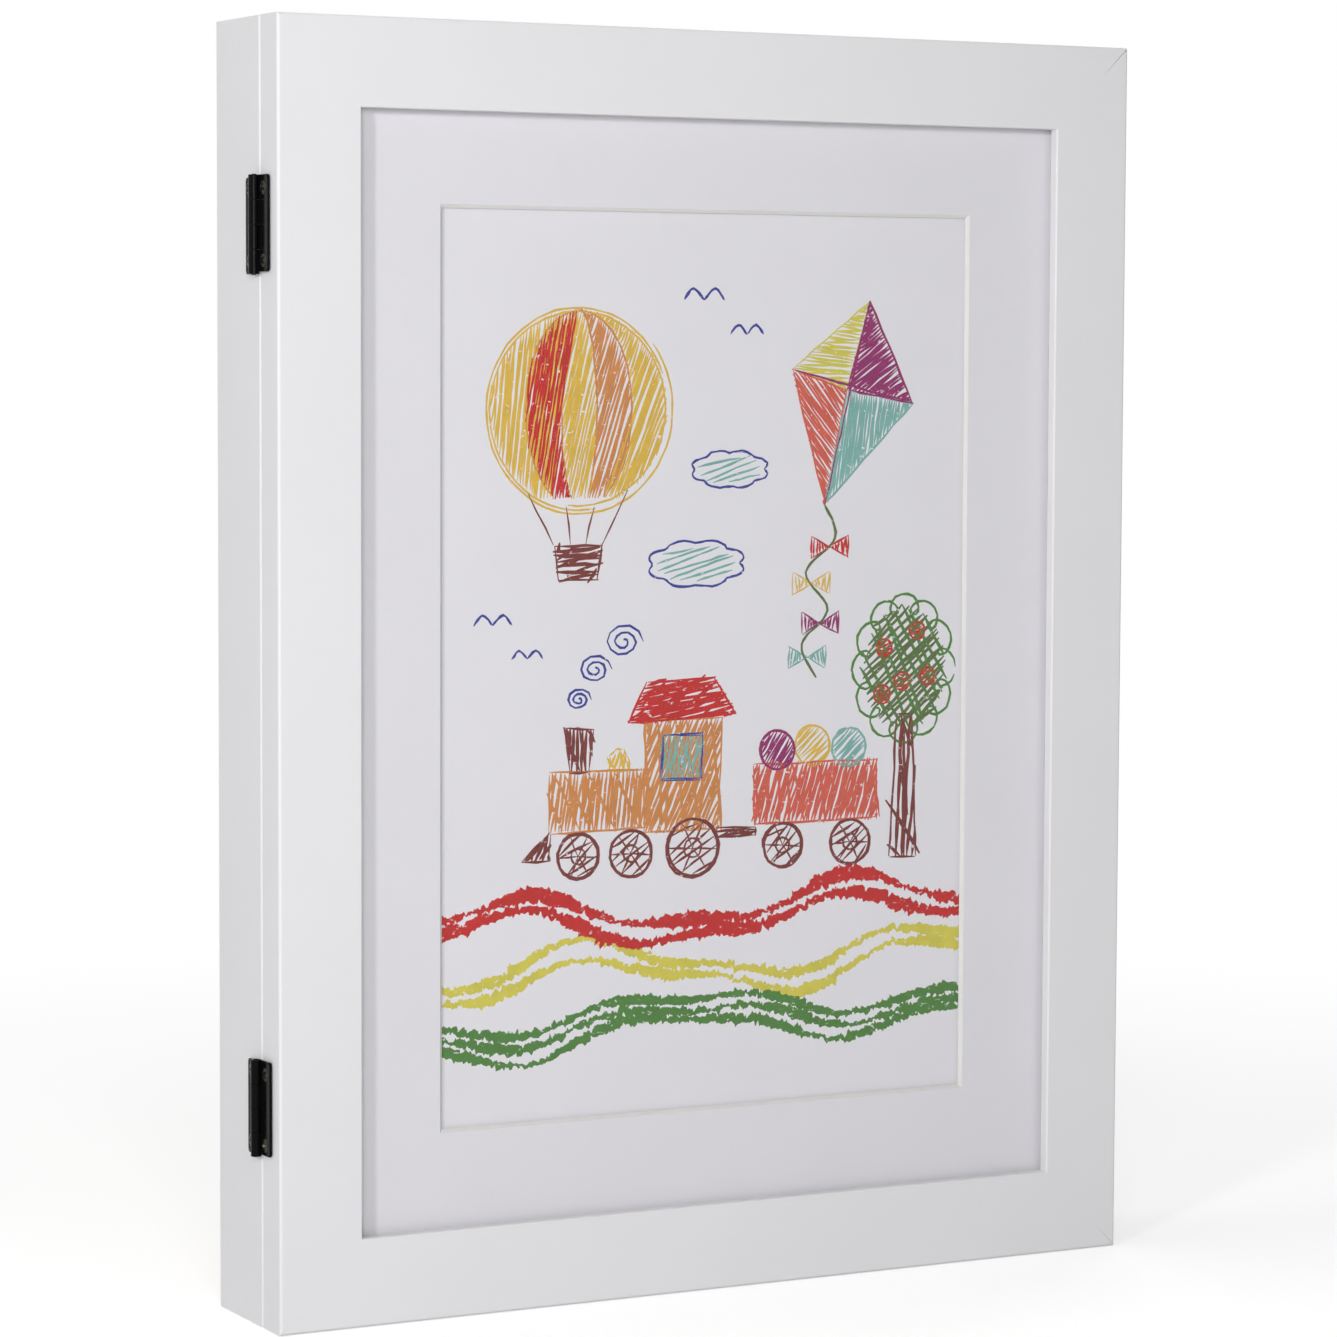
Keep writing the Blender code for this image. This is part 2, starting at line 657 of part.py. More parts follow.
def corner_nails(material, door, rails, parts, cutters):
    nail_mesh = prism("corner_nail", [corner_nail_outline()], NAIL_DEPTH)
    nail_mesh.materials.append(material["zinc_steel"])
    slot_depth = NAIL_DEPTH + SEAT_GAP + CUT_OVERRUN
    slot_mesh = prism("nail_slot", [corner_nail_outline(BORE_CLEARANCE)], slot_depth)
    corners = {
        ("left", "bottom"): (LEFT_X + NAIL_INSET, NAIL_INSET, 1, 1),
        ("right", "bottom"): (RIGHT_X - NAIL_INSET, NAIL_INSET, -1, 1),
        ("right", "top"): (RIGHT_X - NAIL_INSET, FRAME_HEIGHT - NAIL_INSET, -1, -1),
        ("left", "top"): (LEFT_X + NAIL_INSET, FRAME_HEIGHT - NAIL_INSET, 1, -1),
    }
    nail_y = DOOR_BACK_Y - BORE_CLEARANCE - NAIL_DEPTH / 2
    slot_y = DOOR_BACK_Y + CUT_OVERRUN - slot_depth / 2
    for (side, end), (x, z, to_x, to_z) in corners.items():
        # Both legs point into the frame, whichever way round the corner lies.
        along = Vector((to_x, 0, 0)) if to_x * to_z < 0 else Vector((0, 0, to_z))
        name = f"corner_nail_{end}_{side}"
        nail = add_object(name, nail_mesh, None, parts)
        place(nail, (x, nail_y, z), TO_BACK, along)
        hang_on(nail, door)
        slot = as_cutter(add_object(name + "_slot", slot_mesh, None, cutters))
        place(slot, (x, slot_y, z), TO_BACK, along)
        cut(rails[side], slot)
        cut(rails[end], slot)


def straps(material, case, parts, cutters):
    y = CASE_FRONT_Y + STRAP_DEPTH + STRAP_THICKNESS / 2
    length = STORE_WIDTH + 2 * (STRAP_SLOT_DEPTH - SEAT_GAP)
    slot_size = (
        STORE_WIDTH + 2 * STRAP_SLOT_DEPTH,
        STRAP_THICKNESS + 2 * SEAT_GAP,
        STRAP_WIDTH + 2 * SEAT_GAP,
    )
    for name, share in zip(("lower", "upper"), strap_height_shares):
        z = CASE_WALL + share * STORE_HEIGHT
        mesh = block(f"{name}_strap", (length, STRAP_THICKNESS, STRAP_WIDTH))
        strap = add_object(f"{name}_strap", mesh, material["black_elastic"], parts)
        strap.location = (0, y, z)
        slot_mesh = block(f"{name}_strap_slot", slot_size)
        slot = as_cutter(add_object(f"{name}_strap_slot", slot_mesh, None, cutters))
        slot.location = (0, y, z)
        cut(case["left"], slot)
        cut(case["right"], slot)


def back_panel(material, parts):
    width = STORE_WIDTH + 2 * (PANEL_REBATE - SEAT_GAP)
    height = STORE_HEIGHT + 2 * (PANEL_REBATE - SEAT_GAP)
    mesh = block("back_panel", (width, PANEL_THICKNESS, height))
    panel = add_object("back_panel", mesh, material["brown_board"], parts)
    panel.location = (0, PANEL_FRONT_Y + PANEL_THICKNESS / 2, MIDDLE_Z)
    liner_size = (STORE_WIDTH - 2 * SEAT_GAP, LINER_THICKNESS, STORE_HEIGHT - 2 * SEAT_GAP)
    liner = add_object("store_liner", block("store_liner", liner_size), material["black_liner"], parts)
    liner.location = (0, PANEL_FRONT_Y - SEAT_GAP - LINER_THICKNESS / 2, MIDDLE_Z)
    return panel


def hanger_outline():
    # The strip seen from above: two flat ears and a bar that stands off the panel.
    end = HANGER_LENGTH / 2
    bar = HANGER_BAR_LENGTH / 2
    foot = bar + HANGER_RISE
    under = [(-end, 0), (-foot, 0), (-bar, HANGER_RISE), (bar, HANGER_RISE), (foot, 0), (end, 0)]
    over = [(x, z + HANGER_THICKNESS) for x, z in reversed(under)]
    return under + over


def hanger(material, case, panel, parts, cutters):
    panel_back_y = PANEL_FRONT_Y + PANEL_THICKNESS
    foot_y = panel_back_y + SEAT_GAP
    z = HANGER_Z
    mesh = prism("sawtooth_hanger", [hanger_outline()], HANGER_HEIGHT)
    strip = add_object("sawtooth_hanger", mesh, material["zinc_steel"], parts)
    strip.location = (0, foot_y, z)

    # Notches along the lower edge: the nail settles in one of them.
    low = -HANGER_HEIGHT / 2
    count = int((HANGER_BAR_LENGTH - TOOTH_PITCH) / TOOTH_PITCH)
    start = -count * TOOTH_PITCH / 2
    teeth = [(start, low - CUT_OVERRUN)]
    for index in range(count):
        left = start + index * TOOTH_PITCH
        teeth.append((left, low - TOOTH_LAND))
        teeth.append((left + TOOTH_PITCH / 2, low + TOOTH_DEPTH))
    teeth.append((-start, low - TOOTH_LAND))
    teeth.append((-start, low - CUT_OVERRUN))
    through = 2 * (HANGER_RISE + HANGER_THICKNESS + CUT_OVERRUN)
    notches = as_cutter(add_object("hanger_teeth", prism("hanger_teeth", [teeth], through), None, cutters))
    place(notches, (0, foot_y, z), -TO_BACK, Vector((1, 0, 0)))
    cut(strip, notches)

    screw_x = HANGER_LENGTH / 2 - HANGER_SCREW_INSET
    for name, x in (("left", -screw_x), ("right", screw_x)):
        drive_screw(
            f"hanger_screw_{name}",
            HANGER_SCREW_HEAD_RADIUS,
            HANGER_SCREW_LENGTH,
            Vector((x, foot_y + HANGER_THICKNESS, z)),
            TO_BACK,
            (strip, panel, case["top"]),
            (material["zinc_steel"], parts, cutters),
        )


def main():
    clear_scene()
    parts = new_collection("childrens_art_frame")
    cutters = new_collection("cutters")
    material = finishes()

    # Everything that swings hangs on an empty on the hinge pins' axis.
    door = bpy.data.objects.new("door", None)
    door.location = (HINGE_X, HINGE_Y, 0)
    parts.objects.link(door)

    rail_names = {
        "left": "door_left_stile",
        "right": "door_right_stile",
        "top": "door_top_rail",
        "bottom": "door_bottom_rail",
    }
    rails = frame_of_rails(rail_names, door_outline(), material["white_foil"], parts)
    for rail in rails.values():
        hang_on(rail, door)
    layers = picture_stack(material, door, parts)
    mat_window(layers["mat_board"], cutters)
    corner_nails(material, door, rails, parts, cutters)
    turn_buttons(material, door, rails, parts, cutters)

    wall_names = {
        "left": "case_left_side",
        "right": "case_right_side",
        "top": "case_top",
        "bottom": "case_bottom",
    }
    case = frame_of_rails(wall_names, case_outline(), material["white_case"], parts)
    panel = back_panel(material, parts)
    straps(material, case, parts, cutters)
    hanger(material, case, panel, parts, cutters)

    hinges(material, door, rails, case, parts, cutters)
    catch(material, door, rails, case, parts, cutters)


main()
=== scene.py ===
import json
import math
import random

import bmesh
import bpy
from mathutils import Matrix, Vector


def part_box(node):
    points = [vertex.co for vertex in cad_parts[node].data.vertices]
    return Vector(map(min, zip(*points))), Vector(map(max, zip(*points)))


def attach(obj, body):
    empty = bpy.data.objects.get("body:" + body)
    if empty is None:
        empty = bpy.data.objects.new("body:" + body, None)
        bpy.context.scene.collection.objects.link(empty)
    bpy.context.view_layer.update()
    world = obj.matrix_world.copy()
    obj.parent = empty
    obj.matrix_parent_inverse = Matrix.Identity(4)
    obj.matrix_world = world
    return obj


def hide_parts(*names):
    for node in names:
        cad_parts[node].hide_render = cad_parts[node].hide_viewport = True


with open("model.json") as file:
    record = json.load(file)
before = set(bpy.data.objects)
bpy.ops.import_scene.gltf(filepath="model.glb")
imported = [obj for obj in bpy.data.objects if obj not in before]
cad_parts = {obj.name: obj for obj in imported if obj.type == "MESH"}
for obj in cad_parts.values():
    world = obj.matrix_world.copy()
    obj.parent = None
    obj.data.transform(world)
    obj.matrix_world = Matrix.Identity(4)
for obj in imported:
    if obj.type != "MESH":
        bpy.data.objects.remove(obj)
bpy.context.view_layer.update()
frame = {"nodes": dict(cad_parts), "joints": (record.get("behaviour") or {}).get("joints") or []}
print("frame loaded,", len(frame["nodes"]), "nodes")

# Places that every piece shares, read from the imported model
stile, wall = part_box("door_left_stile"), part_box("case_left_side")
pane, sheet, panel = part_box("glazing_pane"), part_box("artwork_sheet"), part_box("back_panel")
frameLeft, frameRight = stile[0].x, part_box("door_right_stile")[1].x
frameBottom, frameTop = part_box("door_bottom_rail")[0].z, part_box("door_top_rail")[1].z
middleZ = (frameBottom + frameTop) / 2
faceWidth, wallWidth = stile[1].x - stile[0].x, wall[1].x - wall[0].x
doorFront, doorBack = stile[0].y, stile[1].y
caseFront, caseBack = wall[0].y, wall[1].y
seatGap = 0.0003  # between pieces that lie against each other
pinAxis = Vector(next(joint["pos_m"] for joint in frame["joints"] if joint["name"] == "door_hinge"))
toFront, toBack = Vector((0, -1, 0)), Vector((0, 1, 0))
toLeft, toUp = Vector((-1, 0, 0)), Vector((0, 0, 1))


def sizeOf(node):
    low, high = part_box(node)
    return high - low


def middleOf(node, outward=Vector()):
    # the middle of a node's box, or of the side of it that looks outward
    low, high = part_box(node)
    return (low + high) / 2 + outward * (high - low) / 2


# Materials: a socket that arithmetic can be done on, and a finish that holds the nodes
class Wire:
    def __init__(self, finish, socket):
        self.finish = finish
        self.socket = socket

    def maths(self, operation, first, second):
        return self.finish.node("ShaderNodeMath", {"operation": operation}, {0: first, 1: second})

    def __add__(self, other):
        return self.maths("ADD", self, other)

    def __radd__(self, other):
        return self.maths("ADD", other, self)

    def __sub__(self, other):
        return self.maths("SUBTRACT", self, other)

    def __rsub__(self, other):
        return self.maths("SUBTRACT", other, self)

    def __mul__(self, other):
        return self.maths("MULTIPLY", self, other)

    def __rmul__(self, other):
        return self.maths("MULTIPLY", other, self)

    def output(self, name):
        # another output of the same node
        return Wire(self.finish, self.socket.node.outputs[name])


class Finish:
    def __init__(self, name, kind="materials"):
        self.owner = getattr(bpy.data, kind).new(name)
        self.owner.use_nodes = True
        self.tree = self.owner.node_tree
        self.tree.nodes.clear()

    def node(self, kind, settings=None, values=None, out=0):
        made = self.tree.nodes.new(kind)
        for key, value in (settings or {}).items():
            if key == "stops":
                self.setStops(made.color_ramp, value)
            else:
                setattr(made, key, value)
        for key, value in (values or {}).items():
            if isinstance(value, Wire):
                self.tree.links.new(value.socket, made.inputs[key])
            else:
                made.inputs[key].default_value = value
        return Wire(self, made.outputs[out] if made.outputs else None)

    def setStops(self, ramp, stops):
        while len(ramp.elements) < len(stops):
            ramp.elements.new(1)
        for element, (place, grey) in zip(ramp.elements, stops):
            element.position = place
            element.color = (grey, grey, grey, 1)

    def place(self, stretch=(1, 1, 1)):
        # a point of the piece as it lies at rest, with each axis stretched
        spot = self.node("ShaderNodeTexCoord", out="Object")
        return self.node("ShaderNodeMapping", None, {"Vector": spot, "Scale": stretch})

    def noise(self, size, detail=2.0, roughness=0.5, stretch=(1, 1, 1)):
        values = {"Vector": self.place(stretch), "Scale": 1 / size, "Detail": detail, "Roughness": roughness}
        return self.node("ShaderNodeTexNoise", None, values)

    def waves(self, direction, period, wobble):
        # bands of light and dark; Blender fits 20 radians into one unit
        values = {"Vector": self.place(), "Scale": math.pi / 10 / period, "Distortion": wobble}
        return self.node("ShaderNodeTexWave", {"bands_direction": direction}, values, "Fac")

    def ramp(self, wire, *stops):
        return self.node("ShaderNodeValToRGB", {"stops": stops}, {"Fac": wire})

    def blend(self, mask, first, second):
        # the Mix node's colours go by number, because its sockets share their names
        values = {0: mask, 6: tinted(first), 7: tinted(second)}
        return self.node("ShaderNodeMix", {"data_type": "RGBA"}, values, 2)

    def bump(self, height, depth, strength):
        values = {"Height": height, "Distance": depth, "Strength": strength}
        return self.node("ShaderNodeBump", None, values)

    def surface(self, **sockets):
        # the sockets of a Principled shader, with an underscore for each blank
        values = {key.replace("_", " "): tinted(value) for key, value in sockets.items()}
        return self.node("ShaderNodeBsdfPrincipled", None, values)

    def seen(self):
        # 1 where the camera sees a thing, straight on or through glass or in a gloss
        path = self.node("ShaderNodeLightPath", out="Is Camera Ray")
        return path + path.output("Is Glossy Ray") + path.output("Is Transmission Ray")

    def done(self, shader, output="ShaderNodeOutputMaterial"):
        self.node(output, None, {"Surface": shader})
        return self.owner

    def coated(self, **sockets):
        return self.done(self.surface(**sockets))


def tinted(value):
    return (*value, 1) if isinstance(value, tuple) and len(value) == 3 else value


foilLook = {
    "white": (0.815, 0.81, 0.825),
    "shade": (0.79, 0.785, 0.80),
    "cloud": 0.035,  # size of the faint clouds in the white
    "streak": 0.0012,  # width of the drawn streaks along a moulding
    "peel": 0.0006,  # size of the grain in the gloss
    "peelDepth": 0.000006,
    "run": {"foilUpright": (1, 1, 0.03), "foilLevel": (0.03, 1, 1)},  # draws the streaks out
}


def foilFinish(name):
    # white foil drawn along the moulding: a smooth satin skin with hardly a streak in it
    look, finish = foilLook, Finish(name)
    clouds = finish.noise(look["cloud"], 3)
    streaks = finish.noise(look["streak"], stretch=look["run"][name])
    peel = finish.noise(look["peel"], 1)
    mask = finish.ramp(0.8 * clouds + 0.2 * streaks, (0.4, 0), (0.65, 1))
    return finish.coated(
        Base_Color=finish.blend(mask * 0.4, look["white"], look["shade"]),
        Roughness=0.46 + 0.08 * clouds,
        Specular_IOR_Level=0.32,
        Normal=finish.bump(0.9 * peel + 0.1 * streaks, look["peelDepth"], 0.4),
    )


paperLook = {  # white, shade, length of a fibre, depth of the grain and roughness
    "matPaper": ((0.805, 0.785, 0.83), (0.78, 0.76, 0.805), 0.0007, 0.00004, 0.85),
    "matCore": ((0.79, 0.78, 0.765), (0.74, 0.73, 0.71), 0.0004, 0.00005, 0.85),
    "drawingPaper": ((0.82, 0.80, 0.84), (0.795, 0.775, 0.815), 0.0006, 0.00004, 0.85),
    "whiteBoard": ((0.78, 0.78, 0.77), (0.70, 0.70, 0.685), 0.0012, 0.00006, 0.6),
}


def paperFinish(name):
    # pressed paper: short fibres that lie every way, seen as a soft grain
    finish, (white, shade, fibre, depth, roughness) = Finish(name), paperLook[name]
    clouds = finish.noise(fibre * 30)
    level = finish.noise(fibre, 4, 0.65, (0.35, 1, 1))
    steep = finish.noise(fibre, 4, 0.65, (1, 1, 0.35))
    grain = 0.5 * level + 0.5 * steep
    mask = finish.ramp(0.7 * grain + 0.3 * clouds, (0.38, 0), (0.66, 1))
    return finish.coated(
        Base_Color=finish.blend(mask, white, shade),
        Roughness=roughness + 0.08 * grain,
        Specular_IOR_Level=0.25,
        Normal=finish.bump(grain, depth, 0.5),
    )


hardboardLook = {
    "dark": (0.17, 0.098, 0.052),
    "light": (0.34, 0.215, 0.125),
    "dented": (0.13, 0.075, 0.04),  # where the wire screen was pressed into the rough face
    "screen": 0.0015,  # pitch of that screen
    "fibre": 0.0006,
    "fleck": 0.0012,
    "cloud": 0.04,
    "depth": 0.00012,
}


def hardboardFinish(name):
    look, finish = hardboardLook, Finish(name)
    fibres = finish.noise(look["fibre"], 5, 0.7, (1, 1, 0.3))
    flecks = finish.noise(look["fleck"], 3, 0.7, (0.4, 1, 1))
    clouds = finish.noise(look["cloud"], 3)
    wires = [finish.waves(axis, look["screen"], 0.4) for axis in "XZ"]
    screen = wires[0] * wires[1]
    tone = finish.ramp(0.5 * fibres + 0.2 * clouds + 0.3 * flecks, (0.36, 0), (0.64, 1))
    colour = finish.blend(tone, look["dark"], look["light"])
    return finish.coated(
        Base_Color=finish.blend(screen * 0.4, colour, look["dented"]),
        Roughness=0.68 + 0.2 * fibres,
        Normal=finish.bump(0.6 * fibres - 0.5 * screen, look["depth"], 0.7),
    )


crayonLook = {"pressure": 0.004, "tooth": 0.00032, "fleck": 0.0016, "depth": 0.00003}


def crayonFinish(name, colour):
    # wax rubbed over paper: flat colour, with a few flecks where the paper's tooth shows through
    look, finish = crayonLook, Finish(name)
    pressure = finish.noise(look["pressure"], 3)
    tooth = finish.noise(look["tooth"], 3, 0.7)
    bare = finish.noise(look["fleck"], 3, 0.6, (1, 1, 1.6))
    flecks = finish.ramp(bare, (0.66, 0), (0.70, 1))
    deep = tuple(0.9 * part for part in colour)
    body = finish.blend(finish.ramp(pressure, (0.35, 0), (0.65, 1)), deep, colour)
    return finish.coated(
        Base_Color=finish.blend(flecks * 0.85, body, paperLook["drawingPaper"][0]),
        Roughness=0.6 + 0.2 * tooth,
        Specular_IOR_Level=0.2,
        Normal=finish.bump(tooth, look["depth"], 0.5),
    )


blackLook = {  # dark and light tone, the size of the coarse and of the fine grain, depth of the grain
    "blackLacquer": ((0.004, 0.004, 0.0045), (0.03, 0.03, 0.031), 0.006, 0.0004, 0.00001),
    "blackMoulded": ((0.012, 0.012, 0.012), (0.02, 0.02, 0.021), 0.003, 0.00018, 0.00003),
    "blackFelt": ((0.006, 0.006, 0.007), (0.022, 0.022, 0.024), 0.006, 0.0005, 0.00025),
    "blackElastic": ((0.009, 0.009, 0.01), (0.032, 0.032, 0.034), 0.0007, 0.0003, 0.00012),
}
wornSpot = 0.0011  # size of the spots where the lacquer has rubbed


def lacquerFinish(name):
    # lacquer on pressed steel, a little orange peel and dust in the gloss
    finish, (dark, light, coarse, fine, depth) = Finish(name), blackLook[name]
    peel = finish.noise(fine)
    dust = finish.noise(coarse, 4, 0.6)
    worn = finish.ramp(finish.noise(wornSpot, 5, 0.7), (0.64, 0), (0.72, 1))
    return finish.coated(
        Base_Color=finish.blend(worn * 0.3, dark, light),
        Roughness=0.04 + 0.18 * dust,
        Specular_IOR_Level=0.045,
        Normal=finish.bump(peel, depth, 0.5),
    )


def mouldedFinish(name):
    # moulded plastic with a fine spark grain
    finish, (dark, light, coarse, fine, depth) = Finish(name), blackLook[name]
    spark = finish.noise(fine)
    flow = finish.noise(coarse, stretch=(0.4, 1, 1))
    return finish.coated(
        Base_Color=finish.blend(flow, dark, light),
        Roughness=0.36 + 0.18 * spark,
        Specular_IOR_Level=0.25,
        Normal=finish.bump(spark, depth, 0.5),
    )


def feltFinish(name):
    # the case's floor: thin felt, with short fibres that catch a little light
    finish, (dark, light, coarse, fine, depth) = Finish(name), blackLook[name]
    nap = finish.noise(fine, 5, 0.75)
    drift = finish.noise(coarse, 3, stretch=(0.3, 1, 1))
    tone = finish.ramp(0.7 * nap + 0.3 * drift, (0.4, 0), (0.68, 1))
    return finish.coated(
        Base_Color=finish.blend(tone, dark, light),
        Roughness=0.9,
        Sheen_Weight=0.06,
        Sheen_Roughness=0.5,
        Normal=finish.bump(nap, depth, 0.7),
    )


def elasticFinish(name):
    # woven elastic: fine crosswise threads over the ribs of its rubber
    finish, (dark, light, coarse, fine, depth) = Finish(name), blackLook[name]
    threads = finish.waves("X", coarse, 0.6)
    fuzz = finish.noise(fine, 3, 0.6)
    return finish.coated(
        Base_Color=finish.blend(threads * 0.6 + fuzz * 0.4, dark, light),
        Roughness=0.7 + 0.2 * fuzz,
        Sheen_Weight=0.1,
        Normal=finish.bump(threads + 0.4 * fuzz, depth, 0.6),
    )


steelLook = {  # bright and dull tone, roughness and the size of the patches in the plating
    "zincSteel": ((0.52, 0.53, 0.55), (0.38, 0.39, 0.41), 0.3, 0.0016),
    "blackenedSteel": ((0.07, 0.067, 0.054), (0.03, 0.029, 0.023), 0.3, 0.0016),
    "nickelPlate": ((0.72, 0.70, 0.66), (0.62, 0.6, 0.57), 0.14, 0.004),
}
rubbing = {"width": 0.0002, "depth": 0.00001}  # of the fine marks in the plating


def steelFinish(name):
    # plated steel: flat patches of slightly different shine, and fine rubbing marks
    finish, (bright, dull, roughness, patch) = Finish(name), steelLook[name]
    values = {"Vector": finish.place(), "Scale": 1 / patch}
    patches = finish.node("ShaderNodeTexVoronoi", {"feature": "F1"}, values, "Color")
    tone = finish.node("ShaderNodeSeparateColor", None, {"Color": patches})
    rubbed = finish.noise(rubbing["width"], stretch=(0.1, 1, 1))
    return finish.coated(
        Base_Color=finish.blend(0.6 * tone + 0.4 * rubbed, dull, bright),
        Metallic=1.0,
        Roughness=roughness + 0.12 * tone + 0.08 * rubbed,
        Normal=finish.bump(rubbed, rubbing["depth"], 0.5),
    )


glassLook = {
    "body": (0.99, 0.994, 0.992),
    "clear": (0.98, 0.982, 0.981),  # what the light that falls through it keeps
    "bending": 1.25,  # low, because hardly anything of the room shows in it
    "wiped": 0.03,  # size of the smears of a cloth
}


def glassFinish(name):
    # clear glass that lets light straight through to what lies behind it
    look, finish = glassLook, Finish(name)
    shadow = finish.node("ShaderNodeLightPath", out="Is Shadow Ray")
    unseen = shadow + shadow.output("Is Diffuse Ray")
    wiped = finish.noise(look["wiped"], 4, stretch=(1, 1, 0.3))
    glass = finish.surface(
        Base_Color=look["body"],
        Roughness=0.004 + 0.012 * wiped,
        IOR=look["bending"],
        Transmission_Weight=1.0,
    )
    clear = finish.node("ShaderNodeBsdfTransparent", None, {"Color": tinted(look["clear"])})
    return finish.done(finish.node("ShaderNodeMixShader", None, {0: unseen, 1: glass, 2: clear}))


makers = {
    foilFinish: foilLook["run"],
    paperFinish: paperLook,
    hardboardFinish: ["brownHardboard"],
    lacquerFinish: ["blackLacquer"],
    mouldedFinish: ["blackMoulded"],
    feltFinish: ["blackFelt"],
    elasticFinish: ["blackElastic"],
    steelFinish: steelLook,
    glassFinish: ["clearGlass"],
}
finishes = {name: make(name) for make, names in makers.items() for name in names}
print("finishes made")


# Mesh tools
def linked(name, data):
    made = bpy.data.objects.new(name, data)
    bpy.context.scene.collection.objects.link(made)
    return made


def takenFrom(shape):
    # the mesh of a bmesh that is done with
    mesh = bpy.data.meshes.new("shape")
    shape.to_mesh(mesh)
    shape.free()
    return mesh


def meshOf(points, faces):
    # a closed mesh from points and faces, its faces turned outwards
    raw, shape = bpy.data.meshes.new("raw"), bmesh.new()
    raw.from_pydata([tuple(point) for point in points], [], faces)
    shape.from_mesh(raw)
    bmesh.ops.recalc_face_normals(shape, faces=shape.faces)
    return takenFrom(shape)


def ringFaces(count, total, looped=False, first=0):
    # faces over rings of count points: the last ring meets the first, or a face shuts each end
    ends = [] if looped else [0, total - 1]
    faces = [[first + ring * count + at for at in range(count)] for ring in ends]
    for ring in range(total if looped else total - 1):
        here, there = first + ring * count, first + (ring + 1) % total * count
        for at in range(count):
            beside = (at + 1) % count
            faces.append([here + at, here + beside, there + beside, there + at])
    return faces


def joined(rings, looped=False):
    points = [point for ring in rings for point in ring]
    return meshOf(points, ringFaces(len(rings[0]), len(rings), looped))


def modify(thing, kind, settings):
    # adds a modifier; a mesh among its settings becomes a helper object
    modifier, helpers = thing.modifiers.new(kind.lower(), kind), []
    for key, value in settings.items():
        if isinstance(value, bpy.types.Mesh):
            value = linked("helper", value)
            helpers.append(value)
        setattr(modifier, key, value)
    return helpers


def shaped(mesh, *steps):
    # the mesh after some modifiers
    holder = linked("holder", mesh)
    helpers = [helper for step in steps for helper in modify(holder, *step)]
    result = bpy.data.meshes.new_from_object(holder.evaluated_get(bpy.context.evaluated_depsgraph_get()))
    for thing in [holder, *helpers]:
        bpy.data.objects.remove(thing)
    return result


def cutBy(*cutters):
    return [("BOOLEAN", {"operation": "DIFFERENCE", "object": cutter}) for cutter in cutters]


def rounding(width, segments, angle=35):
    settings = {"width": width, "segments": segments, "limit_method": "ANGLE"}
    return "BEVEL", {**settings, "angle_limit": math.radians(angle), "use_clamp_overlap": True}


def thickened(sheet):
    return "SOLIDIFY", {"thickness": sheet, "offset": 0, "use_even_offset": True}


def lathe(profile, steps=40):
    # a profile of (radius, height) from the top of the Z axis to its bottom, spun round
    points, faces, rings = [], [], []
    for radius, height in profile:
        count = steps if radius else 1
        rings.append(range(len(points), len(points) + count))
        for step in range(count):
            angle = math.tau * step / steps
            points.append((radius * math.cos(angle), radius * math.sin(angle), height))
    for upper, lower in zip(rings, rings[1:]):
        for step in range(steps):
            after = step + 1
            corners = [(upper, step), (lower, step), (lower, after), (upper, after)]
            face = list(dict.fromkeys(ring[at % len(ring)] for ring, at in corners))
            faces.append(face)
    return meshOf(points, faces)


def bar(outline, front, back, taper=1.0):
    # an outline in the XY plane, drawn out along Z, its far end drawn in by taper
    ends = ((front, 1), (back, taper))
    return joined([[(x * scale, y * scale, z) for x, y in outline] for z, scale in ends])


def moved(mesh, matrix):
    copy = mesh.copy()
    copy.transform(matrix)
    return copy


def box(first, last):
    # a box between any two opposite corners
    first, last = Vector(first), Vector(last)
    size = Vector([abs(part) for part in last - first])
    place = Matrix.Translation((first + last) / 2) @ Matrix.Diagonal((*size, 1))
    shape = bmesh.new()
    bmesh.ops.create_cube(shape, size=1, matrix=place)
    return takenFrom(shape)


def arc(centre, radius, start, end, steps):
    for step in range(steps + 1):
        angle = start + (end - start) * step / steps
        yield centre[0] + radius * math.cos(angle), centre[1] + radius * math.sin(angle)


def rounded(corners, steps):
    # an outline whose corners are x, y and the radius of their fillet
    points = []
    for index, (x, y, radius) in enumerate(corners):
        corner = Vector((x, y))
        if not radius:
            points.append((x, y))
            continue
        before = (Vector(corners[index - 1][:2]) - corner).normalized()
        after = (Vector(corners[(index + 1) % len(corners)][:2]) - corner).normalized()
        half = before.angle(after) / 2
        centre = corner + (before + after).normalized() * radius / math.sin(half)
        first = corner + before * radius / math.tan(half) - centre
        last = corner + after * radius / math.tan(half) - centre
        start = math.atan2(first.y, first.x)
        turn = math.remainder(math.atan2(last.y, last.x) - start, math.tau)
        points.extend(arc(centre, radius, start, start + turn, steps))
    return points


def standing(spot, outward, along):
    # a matrix whose Z points outward at the spot, and whose X points along
    turn = Matrix((along, outward.cross(along), outward)).transposed().to_4x4()
    return Matrix.Translation(spot) @ turn


def facing(node, outward, angle=0.0, sunk=0.0):
    # such a matrix in the middle of a node's outward side, its X turned up from level by the angle
    along = outward.cross(toUp) * math.cos(angle) + toUp * math.sin(angle)
    return standing(middleOf(node, outward) - sunk * outward, outward, along)


def addPiece(name, mesh, finish, body, node=None, place=Matrix(), smooth=35, level=True):
    # one piece of the object: its finish, its shading, what it moves with and what it stands for
    if not mesh.materials:
        mesh.materials.append(finishes[finish])
    mesh.shade_smooth()
    mesh.set_sharp_from_angle(angle=math.radians(smooth))
    piece = linked(name, mesh)
    piece.matrix_world = place
    if level:
        piece.modifiers.new("level", "WEIGHTED_NORMAL").keep_sharp = True
    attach(piece, body)
    if node:
        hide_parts(node)


